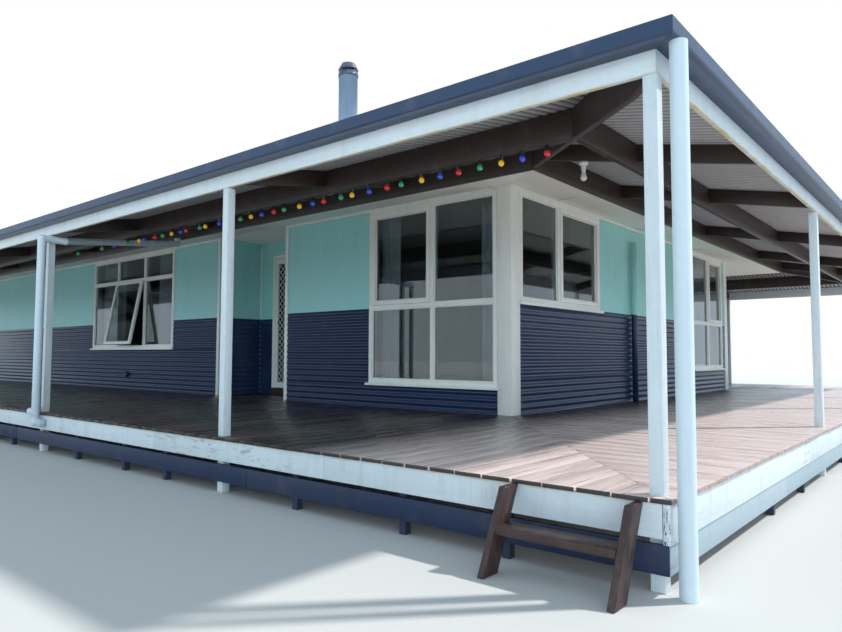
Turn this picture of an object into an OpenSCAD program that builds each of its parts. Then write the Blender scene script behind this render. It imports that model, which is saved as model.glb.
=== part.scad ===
// Single-storey beach house with a wraparound verandah under one low hipped roof.
// X runs along the long front, Y from front to rear, Z up. The origin is on the
// ground at the centre of the deck.

/* [Verandah] */
// Spacing of the posts along the front and rear
bay_w = 3500; // [3000:50:4000]
// Number of bays along the front
bays = 6; // [5:1:7]
// Spacing of the posts in the end bays of the two sides
end_bay_w = 4000; // [3600:50:4200]
// Spacing of the posts in the middle bays of the two sides
mid_bay_w = 3000; // [2800:50:3400]
// Side of a square post
post_w = 70; // [60:1:90]
// Face of a post back from the deck edge
post_inset = 64; // [60:1:80]
// Depth of the front and rear verandah, from the deck edge to the wall
ver_front = 3140; // [2900:10:3300]
// Depth of the side verandahs
ver_side = 2830; // [2700:10:3000]
// Underside of the perimeter beam above the deck
post_h = 1998; // [1950:1:2100]

/* [Deck] */
// Top of the deck above the ground
deck_h = 440; // [400:5:520]
// Thickness of the deck boards
board_t = 25; // [19:1:32]
// Height of the white rim board
rim_h = 160; // [140:5:180]
// Thickness of the rim board
rim_t = 35; // [25:1:40]
// Deck board ends past the rim board
nosing = 20; // [10:1:24]
// Gap between the rim board and the skirt board
skirt_gap = 28; // [10:1:35]
// Gap between the rim board and the skirt board along the sides
side_gap = 3; // [2:1:10]
// Height of the skirt board
skirt_h = 137; // [120:1:160]
// Thickness of the skirt board
skirt_t = 25; // [18:1:30]
// Height of a bearer under the deck
bearer_h = 90; // [70:5:120]
// Width of a bearer
bearer_w = 70; // [45:5:90]
// Side of a stump under the house
stump_w = 100; // [90:5:125]
// Side of a stub behind the skirt
stub_w = 50; // [40:5:60]

/* [House] */
// Thickness of the walls
wall_t = 110; // [90:5:140]
// Inside floor above the deck
floor_up = 110; // [60:5:150]
// Depth of the floor frame
floor_t = 120; // [100:5:120]
// Inside ceiling above the deck
ceiling_z = 2520; // [2500:5:2600]
// Thickness of the ceiling and the eaves lining
lining_t = 12; // [8:1:16]
// Top of the corrugated dado above the deck
dado_z = 1240; // [1150:5:1240]
// Pitch of the corrugated iron
wave_p = 77.5; // [70:0.5:85]
// Height of the corrugations
wave_h = 16; // [12:1:18]
// Thickness of the corrugated sheet
sheet_t = 3; // [2:0.5:4]
// Width of the corner boards
corner_w = 158; // [120:1:175]
// Width of the trims at the porch
trim_w = 60; // [40:1:80]
// Thickness of the boards over the wall face
trim_t = 24; // [20:1:30]

/* [Porch] */
// Width of the recessed porch
porch_w = 1645; // [1550:5:1700]
// Depth of the recessed porch
porch_d = 790; // [700:5:900]
// Right side of the porch from the right-hand house corner
porch_x = 3814; // [3700:2:3900]
// Clear width of the doorway
door_w = 850; // [800:5:900]
// Clear height of the doorway above the threshold
door_h = 2130; // [2000:5:2140]
// Face width of the door frame
jamb_w = 48; // [40:1:60]
// Thickness of the screen door
leaf_t = 32; // [25:1:40]
// Width of the screen door's own frame
stile_w = 90; // [70:1:110]
// Clearance round the screen door
leaf_gap = 6; // [5:0.5:8]
// Radius of a hinge knuckle
knuckle_r = 8; // [7:0.5:10]

/* [Windows] */
// Top of the windows above the deck
head_z = 2487; // [2450:1:2490]
// Width of the three-light window
tri_w = 3030; // [2800:10:3200]
// Sill of the three-light window above the deck
tri_z = 765; // [700:5:900]
// Transom of the three-light window above the deck
tri_bar_z = 2025; // [1900:5:2100]
// Left-hand side of the porch to the three-light window
tri_x = 1382; // [1200:2:1500]
// Width of the tall window at the corner
cor_w = 1950; // [1800:10:2000]
// Sill of the tall windows above the deck
cor_z = 300; // [250:5:420]
// Transom of the tall windows above the deck
cor_bar_z = 1248; // [1242:1:1300]
// Share of the corner window left of its mullion
cor_share = 0.53; // [0.45:0.01:0.55]
// Width of the high window at the corner of the side wall
sid_w = 2010; // [1800:10:2100]
// Width of the low window in the side wall
low_w = 1700; // [1500:10:1800]
// Sill of the low side window above the deck
low_z = 417; // [380:1:500]
// Low side window from the rear corner board
low_gap = 174; // [60:2:600]
// Face width of the window frames
frame_w = 52; // [40:1:60]
// Depth of the window frames
frame_d = 90; // [70:1:110]
// Window frame out of the wall face
frame_out = 28; // [25:1:32]
// Thickness of the window glass
glass_t = 6; // [4:1:8]
// Sill out of the frame face
sill_out = 40; // [25:1:60]
// Opening angle of the top-hung sash
sash_open = 10.5; // [6:0.5:16]

/* [Roof] */
// Thickness of the beam along the tops of the posts
beam_t = 32; // [25:1:60]
// Underside of the roof sheet above the deck, at the deck edge
eave_z = 2158; // [2150:1:2200]
// Pitch angle of the front slope in degrees
roof_pitch = 10.3; // [9.8:0.1:11.2]
// Thickness of the roof sheet
roof_t = 18; // [12:1:24]
// Roof sheet past the deck edge
roof_lap = 8; // [0:1:20]
// Deck edge to the purlin
purlin_d = 1127; // [900:1:1200]
// Height of the purlin
purlin_h = 217; // [150:1:240]
// Thickness of the purlins and rafters
rafter_w = 45; // [35:1:50]
// Height of a rafter
rafter_h = 140; // [120:5:160]
// Deck edge to the eaves of the house itself
eaves_d = 2180; // [2100:10:2400]
// Fall of the eaves lining from the wall to the fascia
eaves_fall = 183; // [120:1:200]
// Thickness of the eaves fascia
fascia_t = 30; // [20:1:40]
// Fascia below the eaves lining
fascia_drop = 12; // [5:1:20]

// Deck edge to the rafter that carries on the line of the front eaves
corner_rafter_y = 2210; // [2208:1:2400]

/* [Gutter] */
// Gutter bottom above the beam's underside
gutter_up = 115; // [100:1:120]
// Width of the gutter
gutter_w = 122; // [110:1:124]
// Height of the gutter face
gutter_h = 80; // [70:1:90]
// Height of the gutter back
gutter_back = 46; // [40:1:50]
// Wall of the gutter
gutter_t = 3; // [2:0.5:4]
// Radius of the gutter's lower front edge
gutter_r = 14; // [8:1:20]
// Diameter of the downpipes
pipe_d = 84; // [80:1:100]
// Wall of the downpipes
pipe_t = 3; // [2:0.5:4]
// Gap between a downpipe and the deck edge
pipe_gap = 1; // [1:1:8]
// Centre of a corner downpipe behind the deck edge
pipe_in = 58; // [50:1:100]
// Post that the front downpipe stands beside, counted from the left
pipe_post = 5; // [1:1:6]
// Front downpipe from the middle of its post
pipe_side = 110; // [100:5:160]
// Diameter of the pipe from the eaves to the front downpipe
cross_d = 80; // [65:1:90]
// Fall of that pipe below the underside of the eaves fascia
cross_drop = 67; // [40:1:80]
// Sideways run of that pipe
cross_run = 900; // [800:10:1300]

/* [Flue] */
// Diameter of the flue
flue_d = 280; // [220:5:300]
// Wall of the flue
flue_t = 4; // [3:0.5:6]
// Top of the flue pipe above the deck
flue_top = 4840; // [4500:10:5000]
// Flue from the right-hand house corner
flue_x = 3190; // [3000:10:3400]
// Flue behind the front wall
flue_y = 600; // [500:10:800]
// Height of the flue cap
cap_h = 95; // [80:1:120]

/* [Wall pipe] */
// Diameter of the painted pipe on the right wall
wall_pipe_d = 80; // [60:1:90]
// Wall pipe from the front right-hand corner
wall_pipe_y = 3210; // [3000:10:3400]
// Height of the wall pipe
wall_pipe_h = 2300; // [2200:10:2340]

/* [Step] */
// Distance between the outer faces of the step's side boards
step_w = 708; // [600:2:800]
// Step's right-hand side board from the deck corner
step_x = 144; // [100:2:250]
// Foot of the side boards out from the deck edge
step_out = 312; // [250:1:350]
// Width of a side board
step_board_w = 131; // [120:1:160]
// Thickness of the side boards
step_board_t = 38; // [32:1:50]
// Top of the tread above the ground
tread_z = 235; // [200:1:260]
// Depth of the tread
tread_d = 150; // [120:1:180]
// Thickness of the tread
tread_t = 42; // [35:1:50]

/* [Lights] */
// Deck edge to the light under the side verandah roof
light_d = 1500; // [1400:2:1700]
// Diameter of a party globe
globe_d = 46; // [40:1:60]
// Spacing of the party globes
globe_gap = 232; // [200:1:260]
// Number of party globes
globes = 36; // [20:1:40]
// Diameter of the festoon cable
cable_d = 7; // [5:0.5:9]

/* [Hidden] */
$fn = 48;
seat = 0.3;
side_mid_bays = 2;

deck_l = bays * bay_w + post_w + 2 * post_inset;
deck_d = 2 * end_bay_w + side_mid_bays * mid_bay_w + post_w + 2 * post_inset;
dx = deck_l / 2;
dy = deck_d / 2;
hx = dx - ver_side;
hy = dy - ver_front;
corner_ratio = ver_side / ver_front;
front_rise = tan(roof_pitch);
side_rise = front_rise / corner_ratio;
ridge_x = dx - dy * corner_ratio;
floor_z = deck_h + floor_up;
wall_top = deck_h + ceiling_z;
porch_r = hx - porch_x;
porch_l = porch_r - porch_w;
door_x = (porch_l + porch_r) / 2;
porch_back = porch_d - hy;
post_c = post_inset + post_w / 2;

// Height of the underside of the roof sheet, d inside the deck edge
function under_roof(d, rise) = deck_h + eave_z + d * rise;
function rise_of(side) = side % 2 == 0 ? front_rise : side_rise;
function run_of(side) = side % 2 == 0 ? 1 : corner_ratio;
function half_of(side) = side % 2 == 0 ? dx : dy;

// Moves a piece drawn at the front to one of the four sides: its Y is the distance in
module at_side(side) {
    turn = [0, 90, 180, -90][side];
    spot = [[0, -dy], [dx, 0], [0, dy], [-dx, 0]][side];
    translate([spot[0], spot[1], 0]) rotate([0, 0, turn]) children();
}

// Plan of one side between its two mitres, from d_out outside to d_in inside the edge
module sector(side, ratio, d_out, d_in, gap = 2) {
    slant = side % 2 == 0 ? ratio : 1 / ratio;
    half = half_of(side) - gap / 2;
    polygon([[-half - slant * d_out, -d_out], [half + slant * d_out, -d_out],
        [max(half - slant * d_in, 0), d_in], [min(slant * d_in - half, 0), d_in]]);
}

// Runs a profile (distance in, height) along one side, mitred at both ends
module side_run(side, ratio = 1, d_out = 300, d_in = 600, gap = 2) {
    length = 2 * half_of(side) + 2 * d_out * 2;
    at_side(side) intersection() {
        rotate([90, 0, 90]) linear_extrude(length, center = true) children();
        linear_extrude(2 * (deck_h + ceiling_z) + 2 * dy * front_rise)
            sector(side, ratio, d_out, d_in, gap);
    }
}

// Places children at every post
module at_posts() {
    for (sy = [-1, 1], i = [0:bays])
        translate([(i - bays / 2) * bay_w, sy * (dy - post_c), 0]) children();
    for (sx = [-1, 1], i = [0:side_mid_bays])
        translate([sx * (dx - post_c), (i - side_mid_bays / 2) * mid_bay_w, 0]) children();
}

// All the space under the roof sheets, less a drop below them
module roof_space(drop) {
    over = 100;
    intersection() {
        rotate([90, 0, 90]) linear_extrude(2 * (dx + over), center = true)
            slope_section(dy, front_rise, over, drop);
        rotate([90, 0, 180]) linear_extrude(2 * (dy + over), center = true)
            slope_section(dx, side_rise, over, drop);
    }
}

module slope_section(half, rise, over, drop) {
    low = under_roof(-over, rise) - drop;
    polygon([[-half - over, 0], [half + over, 0], [half + over, low],
        [0, under_roof(half, rise) - drop], [-half - over, low]]);
}

// Posts

module verandah_posts() {
    color("white") at_posts()
        translate([-post_w / 2, -post_w / 2, 0]) cube([post_w, post_w, deck_h + post_h]);
}

// Deck

deck_mid_d = 1500;
stub_places = [930, 1940, 2680];
stump_end = 400;
bearer_back = 200;

module deck_bearers() {
    color("dimgray") {
        for (side = [0:3], d = bearer_rows())
            side_run(side, corner_ratio, 0, ver_front + bearer_w, 20)
                translate([d * run_of(side) - bearer_w / 2, deck_h - board_t - bearer_h])
                    square([bearer_w, bearer_h]);
        for (y = house_bearers())
            translate([-hx + bearer_w, y - bearer_w / 2, deck_h - board_t - bearer_h])
                cube([2 * (hx - bearer_w), bearer_w, bearer_h + board_t + floor_up - floor_t]);
    }
}

function bearer_rows() = [deck_mid_d, ver_front - bearer_w];
function house_bearers() = [-hy + porch_d + bearer_back, 0, hy - porch_d + bearer_w];

module stumps() {
    stump_h = deck_h - board_t - bearer_h;
    color("dimgray") {
        for (y = house_bearers(), i = [-2:2])
            translate([i * (hx - stump_end) / 2 - stump_w / 2, y - stump_w / 2, 0])
                cube([stump_w, stump_w, stump_h]);
        for (side = [0:3], d = bearer_rows()) at_side(side) {
            reach = half_of(side) - run_of(side + 1) * d - stump_end;
            for (i = [-2:2])
                translate([i * reach / 2 - stump_w / 2, d * run_of(side) - stump_w / 2, 0])
                    cube([stump_w, stump_w, stump_h]);
        }
        stub_in = nosing + rim_t;
        for (side = [0:3]) at_side(side) for (x = stub_spots(side))
            translate([x - stub_w / 2, stub_in + seat, 0]) cube([stub_w, stub_w, deck_h - board_t]);
    }
}

// Places of the stubs along a side, between the posts
function stub_spots(side) = side % 2 == 0
    ? [for (i = [0:bays - 1], s = stub_places) (i - bays / 2) * bay_w + s]
    : [for (i = [-6:6]) if (i % 3 != 0) i * mid_bay_w / 3];

module deck_cut() {
    at_posts() translate([-post_w / 2 - seat, -post_w / 2 - seat, 0])
        cube([post_w + 2 * seat, post_w + 2 * seat, deck_h + post_h]);
}

module deck() {
    color("#4a332c") difference() {
        union() {
            for (side = [0:3])
                side_run(side, corner_ratio, 0, ver_front + 1, 3)
                    translate([0, deck_h - board_t])
                        square([ver_front * run_of(side) - seat, board_t]);
            translate([porch_l + seat, -hy - 2, deck_h - board_t])
                cube([porch_w - 2 * seat, porch_d + 2 - seat, board_t]);
        }
        deck_cut();
    }
}

// The side boards run through to the corners and reach down to the skirt; the front and
// rear ones butt between them
module rim_boards() {
    butt = nosing + rim_t + 1;
    color("white") for (side = [0:3]) {
        h = side % 2 == 0 ? rim_h : rim_h + skirt_gap - side_gap;
        end = half_of(side) - (side % 2 == 0 ? butt : nosing);
        at_side(side) translate([-end, nosing, deck_h - board_t - h]) cube([2 * end, rim_t, h]);
    }
}

module skirt_boards() {
    color("#24304a") for (side = [0:3])
        side_run(side)
            translate([nosing + rim_t - skirt_t, deck_h - board_t - rim_h - skirt_gap - skirt_h])
            square([skirt_t, skirt_h]);
}

// Walls

module house_floor() {
    color("burlywood") difference() {
        translate([-hx, -hy, floor_z - floor_t]) cube([2 * hx, 2 * hy, floor_t]);
        translate([porch_l, -hy - 1, 0]) cube([porch_w, porch_d + 1, wall_top]);
    }
}

// A hole through the front wall, or through a wall turned to the front
module wall_hole(x, z, w, top) {
    translate([x, -wall_t, deck_h + z]) cube([w, 3 * wall_t, top - z]);
}

// A wall from x0 to x1 with its outer face at y = 0
module wall(x0, x1) {
    translate([x0, 0, floor_z]) cube([x1 - x0, wall_t, wall_top - floor_z]);
}

ledge_h = 18;
ledge_out = trim_t - 2;

// Bead along a wall on top of the dado, over the corrugations
module ledge(x0, x1) {
    translate([x0 + seat, -ledge_out, deck_h + dado_z + seat])
        cube([x1 - x0 - 2 * seat, ledge_out + 1, ledge_h]);
}

tri_left = porch_l - tri_x - tri_w;
cor_left = hx - corner_w - 3 - cor_w;
sid_left = -hy + corner_w;
low_left = hy - corner_w - low_gap - low_w;
rear_win_x = hx / 2;

module front_wall_left() {
    color("#8fc7c0") translate([0, -hy, 0]) {
        difference() {
            wall(-hx, porch_l);
            wall_hole(tri_left, tri_z, tri_w, head_z);
        }
        ledge(-hx + corner_w, tri_left);
        ledge(tri_left + tri_w, porch_l - trim_w);
    }
}

module front_wall_right() {
    color("#8fc7c0") translate([0, -hy, 0]) {
        difference() {
            wall(porch_r, hx);
            wall_hole(cor_left, cor_z, cor_w, head_z);
        }
        ledge(porch_r + trim_w, cor_left);
    }
}

module porch_side_walls() {
    color("#8fc7c0") for (x = [porch_l - wall_t, porch_r])
        translate([x, -hy + wall_t, floor_z])
            cube([wall_t, porch_d - wall_t, wall_top - floor_z]);
}

door_out_w = door_w + 2 * jamb_w;

module porch_back_walls() {
    color("#8fc7c0") translate([0, -hy + porch_d, 0]) {
        wall(porch_l - wall_t, door_x - door_out_w / 2);
        wall(door_x + door_out_w / 2, porch_r + wall_t);
    }
}

module porch_over_door() {
    z = floor_z + door_h + jamb_w;
    color("#8fc7c0") translate([door_x - door_out_w / 2, -hy + porch_d, z])
        cube([door_out_w, wall_t, wall_top - z]);
}

// Side wall between the front and rear walls, drawn along Y with its face at x = hx
module side_wall() {
    difference() {
        translate([hx - wall_t, -hy + wall_t, floor_z])
            cube([wall_t, 2 * (hy - wall_t), wall_top - floor_z]);
        translate([hx, 0, 0]) rotate([0, 0, 90]) side_holes();
    }
    translate([hx, 0, 0]) rotate([0, 0, 90]) {
        ledge(sid_left + sid_w, low_left);
        ledge(low_left + low_w, hy - corner_w);
    }
}

module side_holes() {
    wall_hole(sid_left, dado_z, sid_w, head_z);
    wall_hole(low_left, low_z, low_w, head_z);
}

module right_wall() {
    color("#8fc7c0") side_wall();
}

module left_wall() {
    color("#8fc7c0") mirror([1, 0, 0]) side_wall();
}

module rear_wall() {
    color("#8fc7c0") translate([0, hy, 0]) rotate([0, 0, 180]) {
        difference() {
            wall(-hx, hx);
            for (x = rear_windows()) wall_hole(x, tri_z, tri_w, head_z);
        }
        ledge(-hx + corner_w, rear_windows()[0]);
        ledge(rear_windows()[0] + tri_w, rear_windows()[1]);
        ledge(rear_windows()[1] + tri_w, hx - corner_w);
    }
}

function rear_windows() = [-rear_win_x - tri_w / 2, rear_win_x - tri_w / 2];

// Corrugated dado

waves = round(dado_z / wave_p);
wave_steps = 6;

// One face of the sheet: a sine wave up the wall, standing out towards -Y
function wave_line(out) = [for (i = [0:waves * wave_steps])
    [-out - wave_h / 2 - wave_h / 2 * cos(360 * i / wave_steps), dado_z * i / (waves * wave_steps)]];

module dado_sheet(x0, x1) {
    back = wave_line(seat);
    face = wave_line(seat + sheet_t);
    translate([x0, 0, deck_h]) rotate([90, 0, 90]) linear_extrude(x1 - x0)
        polygon(concat(back, [for (i = [len(face) - 1:-1:0]) face[i]]));
}

module front_dado() {
    gap = trim_w + seat;
    color("#24304a") {
        translate([0, -hy, 0]) {
            difference() {
                dado_sheet(-hx + corner_w, porch_l - gap);
                window_clear(tri_left, tri_z, tri_w);
            }
            difference() {
                dado_sheet(porch_r + gap, hx - corner_w);
                window_clear(cor_left, cor_z, cor_w);
            }
        }
        translate([porch_l, 0, 0]) rotate([0, 0, 90])
            dado_sheet(-hy + trim_t + 2 * seat, -hy + porch_d - wave_h - sheet_t - 2 * seat);
        translate([porch_r, 0, 0]) rotate([0, 0, -90])
            dado_sheet(hy - porch_d + wave_h + sheet_t + 2 * seat, hy - trim_t - 2 * seat);
        translate([0, -hy + porch_d, 0]) {
            dado_sheet(porch_l + seat, door_x - door_out_w / 2 - seat);
            dado_sheet(door_x + door_out_w / 2 + seat, porch_r - seat);
        }
    }
}

// Room for a window frame and its sill in a dado sheet
module window_clear(x, z, w) {
    translate([x, -wall_t, deck_h + z - sill_h - seat]) cube([w, 2 * wall_t, wall_top]);
}

module side_dado() {
    translate([hx, 0, 0]) rotate([0, 0, 90]) difference() {
        dado_sheet(-hy + corner_w, hy - corner_w);
        window_clear(sid_left, dado_z, sid_w);
        window_clear(low_left, low_z, low_w);
    }
}

module side_and_rear_dado() {
    color("#24304a") {
        side_dado();
        mirror([1, 0, 0]) side_dado();
        translate([0, hy, 0]) rotate([0, 0, 180]) difference() {
            dado_sheet(-hx + corner_w, hx - corner_w);
            for (x = rear_windows()) window_clear(x, tri_z, tri_w);
        }
    }
}

// White boards on the wall face: corners, porch edges, cornice

cornice_h = ceiling_z - head_z;

// A flat board on the wall face, in front of y = 0
module face_board(x0, x1, z0, z1, t = trim_t) {
    translate([x0, -t - seat, deck_h + z0]) cube([x1 - x0, t, z1 - z0]);
}

module corner_board() {
    reach = trim_t + seat;
    difference() {
        translate([hx - corner_w, -hy - reach, deck_h])
            cube([corner_w + reach, corner_w + reach, head_z + cornice_h]);
        translate([hx - corner_w - 1, -hy - seat, deck_h - 1])
            cube([corner_w + 1 + seat, corner_w + reach + 1, head_z + cornice_h + 2]);
    }
}

module side_trims() {
    translate([hx, 0, 0]) rotate([0, 0, 90]) {
        face_board(-hy + corner_w + seat, hy - corner_w - seat, head_z + seat,
            head_z + cornice_h);
    }
}

module white_trims() {
    color("ivory") {
        for (mx = [0, 1], my = [0, 1]) mirror([mx, 0, 0]) mirror([0, my, 0]) corner_board();
        for (mx = [0, 1]) mirror([mx, 0, 0]) side_trims();
        translate([0, -hy, 0]) {
            face_board(porch_l - trim_w, porch_l, 0, ceiling_z);
            face_board(porch_r, porch_r + trim_w, 0, ceiling_z);
            face_board(-hx + corner_w + seat, porch_l - trim_w - seat, head_z + seat, ceiling_z);
            face_board(porch_r + trim_w + seat, hx - corner_w - seat, head_z + seat, ceiling_z);
        }
        translate([0, hy, 0]) rotate([0, 0, 180]) {
            face_board(-hx + corner_w + seat, hx - corner_w - seat, head_z + seat, ceiling_z);
        }
    }
}

// Windows

sill_h = 30;
sill_side = 28;
bar_w = frame_w;

// Left and right edges of each light across a window
function lights(w, cuts) = let (edges = concat([0], cuts, [w])) [for (i = [0:len(edges) - 2])
    [edges[i] + (i == 0 ? frame_w : bar_w / 2),
        edges[i + 1] - (i == len(edges) - 2 ? frame_w : bar_w / 2)]];

// A fixed frame with its lower left outer corner at x, z on the wall face
module window_frame(x, z, w, cuts, bars) {
    h = head_z - z;
    translate([x, 0, deck_h + z]) {
        difference() {
            translate([seat, -frame_out, seat]) cube([w - 2 * seat, frame_d, h - 2 * seat]);
            for (a = lights(w, cuts), b = lights(h, bars))
                translate([a[0], -frame_out - 1, b[0]])
                    cube([a[1] - a[0], frame_d + 2, b[1] - b[0]]);
        }
        translate([seat, -frame_out - sill_out, -sill_h])
            cube([w - 2 * seat, frame_out + sill_out - seat, sill_h + 2 * seat]);
        translate([-sill_side, -frame_out - sill_out, -sill_h])
            cube([w + 2 * sill_side, frame_out + sill_out - trim_t - 2 * seat, sill_h]);
    }
}

// The panes that fill the same frame
module window_panes(x, z, w, cuts, bars, skip = -1) {
    h = head_z - z;
    across = lights(w, cuts);
    up = lights(h, bars);
    for (i = [0:len(across) - 1], j = [0:len(up) - 1])
        if (i + j * len(across) != skip)
            translate([x + across[i][0] + seat, 0, deck_h + z + up[j][0] + seat])
                cube([across[i][1] - across[i][0] - 2 * seat, glass_t,
                    up[j][1] - up[j][0] - 2 * seat]);
}

tri_cuts = [tri_w / 3, tri_w * 2 / 3];
tri_bars = [tri_bar_z - tri_z];
cor_cuts = [cor_w * cor_share];
sid_cuts = [sid_w * 0.44];
low_cuts = [low_w / 2];
sash_light = lights(tri_w, tri_cuts)[1];
sash_top = tri_bar_z - tri_z - bar_w / 2;
sash_w = sash_light[1] - sash_light[0];
sash_h = sash_top - frame_w;
sash_bar = 45;
sash_edge = 8;

module triple_window() {
    color("ivory") translate([0, -hy, 0]) window_frame(tri_left, tri_z, tri_w, tri_cuts, tri_bars);
}

// Places the top-hung sash: its top front edge is the hinge
module at_sash() {
    translate([tri_left + sash_light[0], -hy - frame_out - seat,
        deck_h + tri_z + sash_top + sash_edge]) rotate([-sash_open, 0, 0]) children();
}

module open_sash() {
    inset = sash_bar + sash_edge;
    color("ivory") at_sash()
        translate([-sash_edge, -sash_bar, -sash_h - 2 * sash_edge]) difference() {
            cube([sash_w + 2 * sash_edge, sash_bar, sash_h + 2 * sash_edge]);
            translate([inset, -1, inset])
                cube([sash_w - 2 * sash_bar, sash_bar + 2, sash_h - 2 * sash_bar]);
        }
}

module corner_window() {
    color("ivory") translate([0, -hy, 0])
        window_frame(cor_left, cor_z, cor_w, cor_cuts, [cor_bar_z - cor_z]);
}

module right_high_window() {
    color("ivory") translate([hx, 0, 0]) rotate([0, 0, 90])
        window_frame(sid_left, dado_z, sid_w, sid_cuts, []);
}

module right_low_window() {
    color("ivory") translate([hx, 0, 0]) rotate([0, 0, 90])
        window_frame(low_left, low_z, low_w, low_cuts, [cor_bar_z - low_z]);
}

module rear_and_left_windows() {
    color("ivory") {
        mirror([1, 0, 0]) {
            right_high_window();
            right_low_window();
        }
        translate([0, hy, 0]) rotate([0, 0, 180])
            for (x = rear_windows()) window_frame(x, tri_z, tri_w, tri_cuts, tri_bars);
    }
}

module side_panes() {
    translate([hx, 0, 0]) rotate([0, 0, 90]) {
        window_panes(sid_left, dado_z, sid_w, sid_cuts, []);
        window_panes(low_left, low_z, low_w, low_cuts, [cor_bar_z - low_z]);
    }
}

module window_glass() {
    color("lightblue", 0.4) {
        translate([0, -hy, 0]) {
            window_panes(tri_left, tri_z, tri_w, tri_cuts, tri_bars, 1);
            window_panes(cor_left, cor_z, cor_w, cor_cuts, [cor_bar_z - cor_z]);
        }
        at_sash() translate([sash_bar + seat, -sash_bar / 2, sash_bar + seat - sash_h - sash_edge])
            cube([sash_w - 2 * sash_bar - 2 * seat, glass_t, sash_h - 2 * sash_bar - 2 * seat]);
        side_panes();
        mirror([1, 0, 0]) side_panes();
        translate([0, hy, 0]) rotate([0, 0, 180])
            for (x = rear_windows()) window_panes(x, tri_z, tri_w, tri_cuts, tri_bars);
    }
}

// Entry door

leaf_w = door_w - 2 * leaf_gap;
leaf_h = door_h - 2 * leaf_gap;
hinge_x = door_x + door_w / 2;
strap_t = 3;
strap_w = 20;
strap_out = 12;
hinge_off = 0.5;
hinge_y = -hy + porch_d - frame_out - knuckle_r - hinge_off;
hinge_in = 220;
hinge_zs = [hinge_in, leaf_h / 2, leaf_h - hinge_in];
knuckle_h = 36;

module door_frame() {
    front = -hy + porch_d - frame_out;
    color("ivory") {
        difference() {
            translate([door_x - door_out_w / 2 + seat, front, floor_z + seat])
                cube([door_out_w - 2 * seat, frame_out + wall_t, door_h + jamb_w - 2 * seat]);
            translate([door_x - door_w / 2, front - 1, floor_z - 1])
                cube([door_w, frame_out + wall_t + 2, door_h + 1]);
        }
        for (z = hinge_zs) hinge_knuckle(z);
    }
}

// Fixed knuckle of a hinge, on the face of the door frame
module hinge_knuckle(z) {
    translate([hinge_x, hinge_y, floor_z + leaf_gap + z]) {
        cylinder(r = knuckle_r, h = knuckle_h);
        translate([0, knuckle_r + hinge_off - strap_t, 0])
            cube([jamb_w - strap_out, strap_t, knuckle_h]);
    }
}

tread_out = 20;

module threshold() {
    color("#4a332c")
        translate([door_x - door_out_w / 2, -hy + porch_d - frame_out - tread_out, deck_h + seat])
            cube([door_out_w, frame_out + tread_out - seat, floor_up - 2 * seat]);
}

// Places what belongs to the closed screen door, with its lower right corner at 0, 0
module at_leaf() {
    translate([door_x + leaf_w / 2, -hy + porch_d - frame_out, floor_z + leaf_gap]) children();
}

module screen_door() {
    color("white") {
        at_leaf() difference() {
            translate([-leaf_w, 0, 0]) cube([leaf_w, leaf_t, leaf_h]);
            for (z = [stile_w, leaf_h / 2 + stile_w / 2])
                translate([stile_w - leaf_w, -1, z])
                    cube([leaf_w - 2 * stile_w, leaf_t + 2, leaf_h / 2 - stile_w * 1.5]);
        }
        for (z = hinge_zs, up = [0, 1])
            translate([hinge_x, hinge_y, floor_z + leaf_gap + z
                + (up == 1 ? knuckle_h + 1 : -knuckle_h - 1)]) {
                cylinder(r = knuckle_r, h = knuckle_h);
                translate([-leaf_gap - strap_w, knuckle_r + hinge_off - strap_t, 0])
                    cube([leaf_gap + strap_w, strap_t, knuckle_h]);
            }
    }
}

module door_mesh() {
    color("black") at_leaf() for (z = [stile_w, leaf_h / 2 + stile_w / 2])
        translate([stile_w - leaf_w + seat, leaf_t / 2, z + seat])
            cube([leaf_w - 2 * stile_w - 2 * seat, 3, leaf_h / 2 - stile_w * 1.5 - 2 * seat]);
}

// Eaves and ceiling

lining_out_z = ceiling_z - eaves_fall;

module eaves_lining() {
    color("ivory") for (side = [0:3]) {
        d0 = eaves_d * run_of(side) + fascia_t + seat;
        d1 = (side % 2 == 0 ? ver_front : ver_side) - trim_t - 2 * seat;
        side_run(side, corner_ratio, 0, ver_front + 1, 3)
            polygon([[d0, deck_h + lining_out_z], [d1, wall_top],
                [d1, wall_top + lining_t], [d0, deck_h + lining_out_z + lining_t]]);
    }
}

module ceiling() {
    color("white") translate([-hx, -hy, wall_top + seat]) cube([2 * hx, 2 * hy, lining_t]);
}

module eaves_fascia() {
    color("#3b2a26") for (side = [0:3]) {
        d = eaves_d * run_of(side);
        low = deck_h + lining_out_z - fascia_drop;
        side_run(side, corner_ratio, 0, ver_front, 2)
            polygon([[d, low], [d + fascia_t, low],
                [d + fascia_t, under_roof(d + fascia_t, rise_of(side)) - seat],
                [d, under_roof(d, rise_of(side)) - seat]]);
    }
}

// Verandah roof frame

// Room for the hip rafter between the ends of two purlins, along the side
function hip_gap(side) =
    (rafter_w + 2 * seat) * norm([1, side % 2 == 0 ? corner_ratio : 1 / corner_ratio]);

module verandah_purlins() {
    color("#3b2a26") for (side = [0:3]) {
        d = purlin_d * run_of(side);
        top = under_roof(d, rise_of(side)) - seat;
        side_run(side, corner_ratio, 0, ver_front, hip_gap(side))
            polygon([[d, top - purlin_h], [d + rafter_w, top - purlin_h],
                [d + rafter_w, top + rafter_w * rise_of(side)], [d, top]]);
    }
}

// A rafter at x along one side, from d0 to d1 inside the deck edge
module rafter(side, x, d0, d1) {
    rise = rise_of(side);
    at_side(side) translate([x - rafter_w / 2, 0, 0]) rotate([90, 0, 90])
        linear_extrude(rafter_w) polygon([
            [d0, under_roof(d0, rise) - seat - rafter_h], [d1, under_roof(d1, rise) - seat - rafter_h],
            [d1, under_roof(d1, rise) - seat], [d0, under_roof(d0, rise) - seat]]);
}

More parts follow.
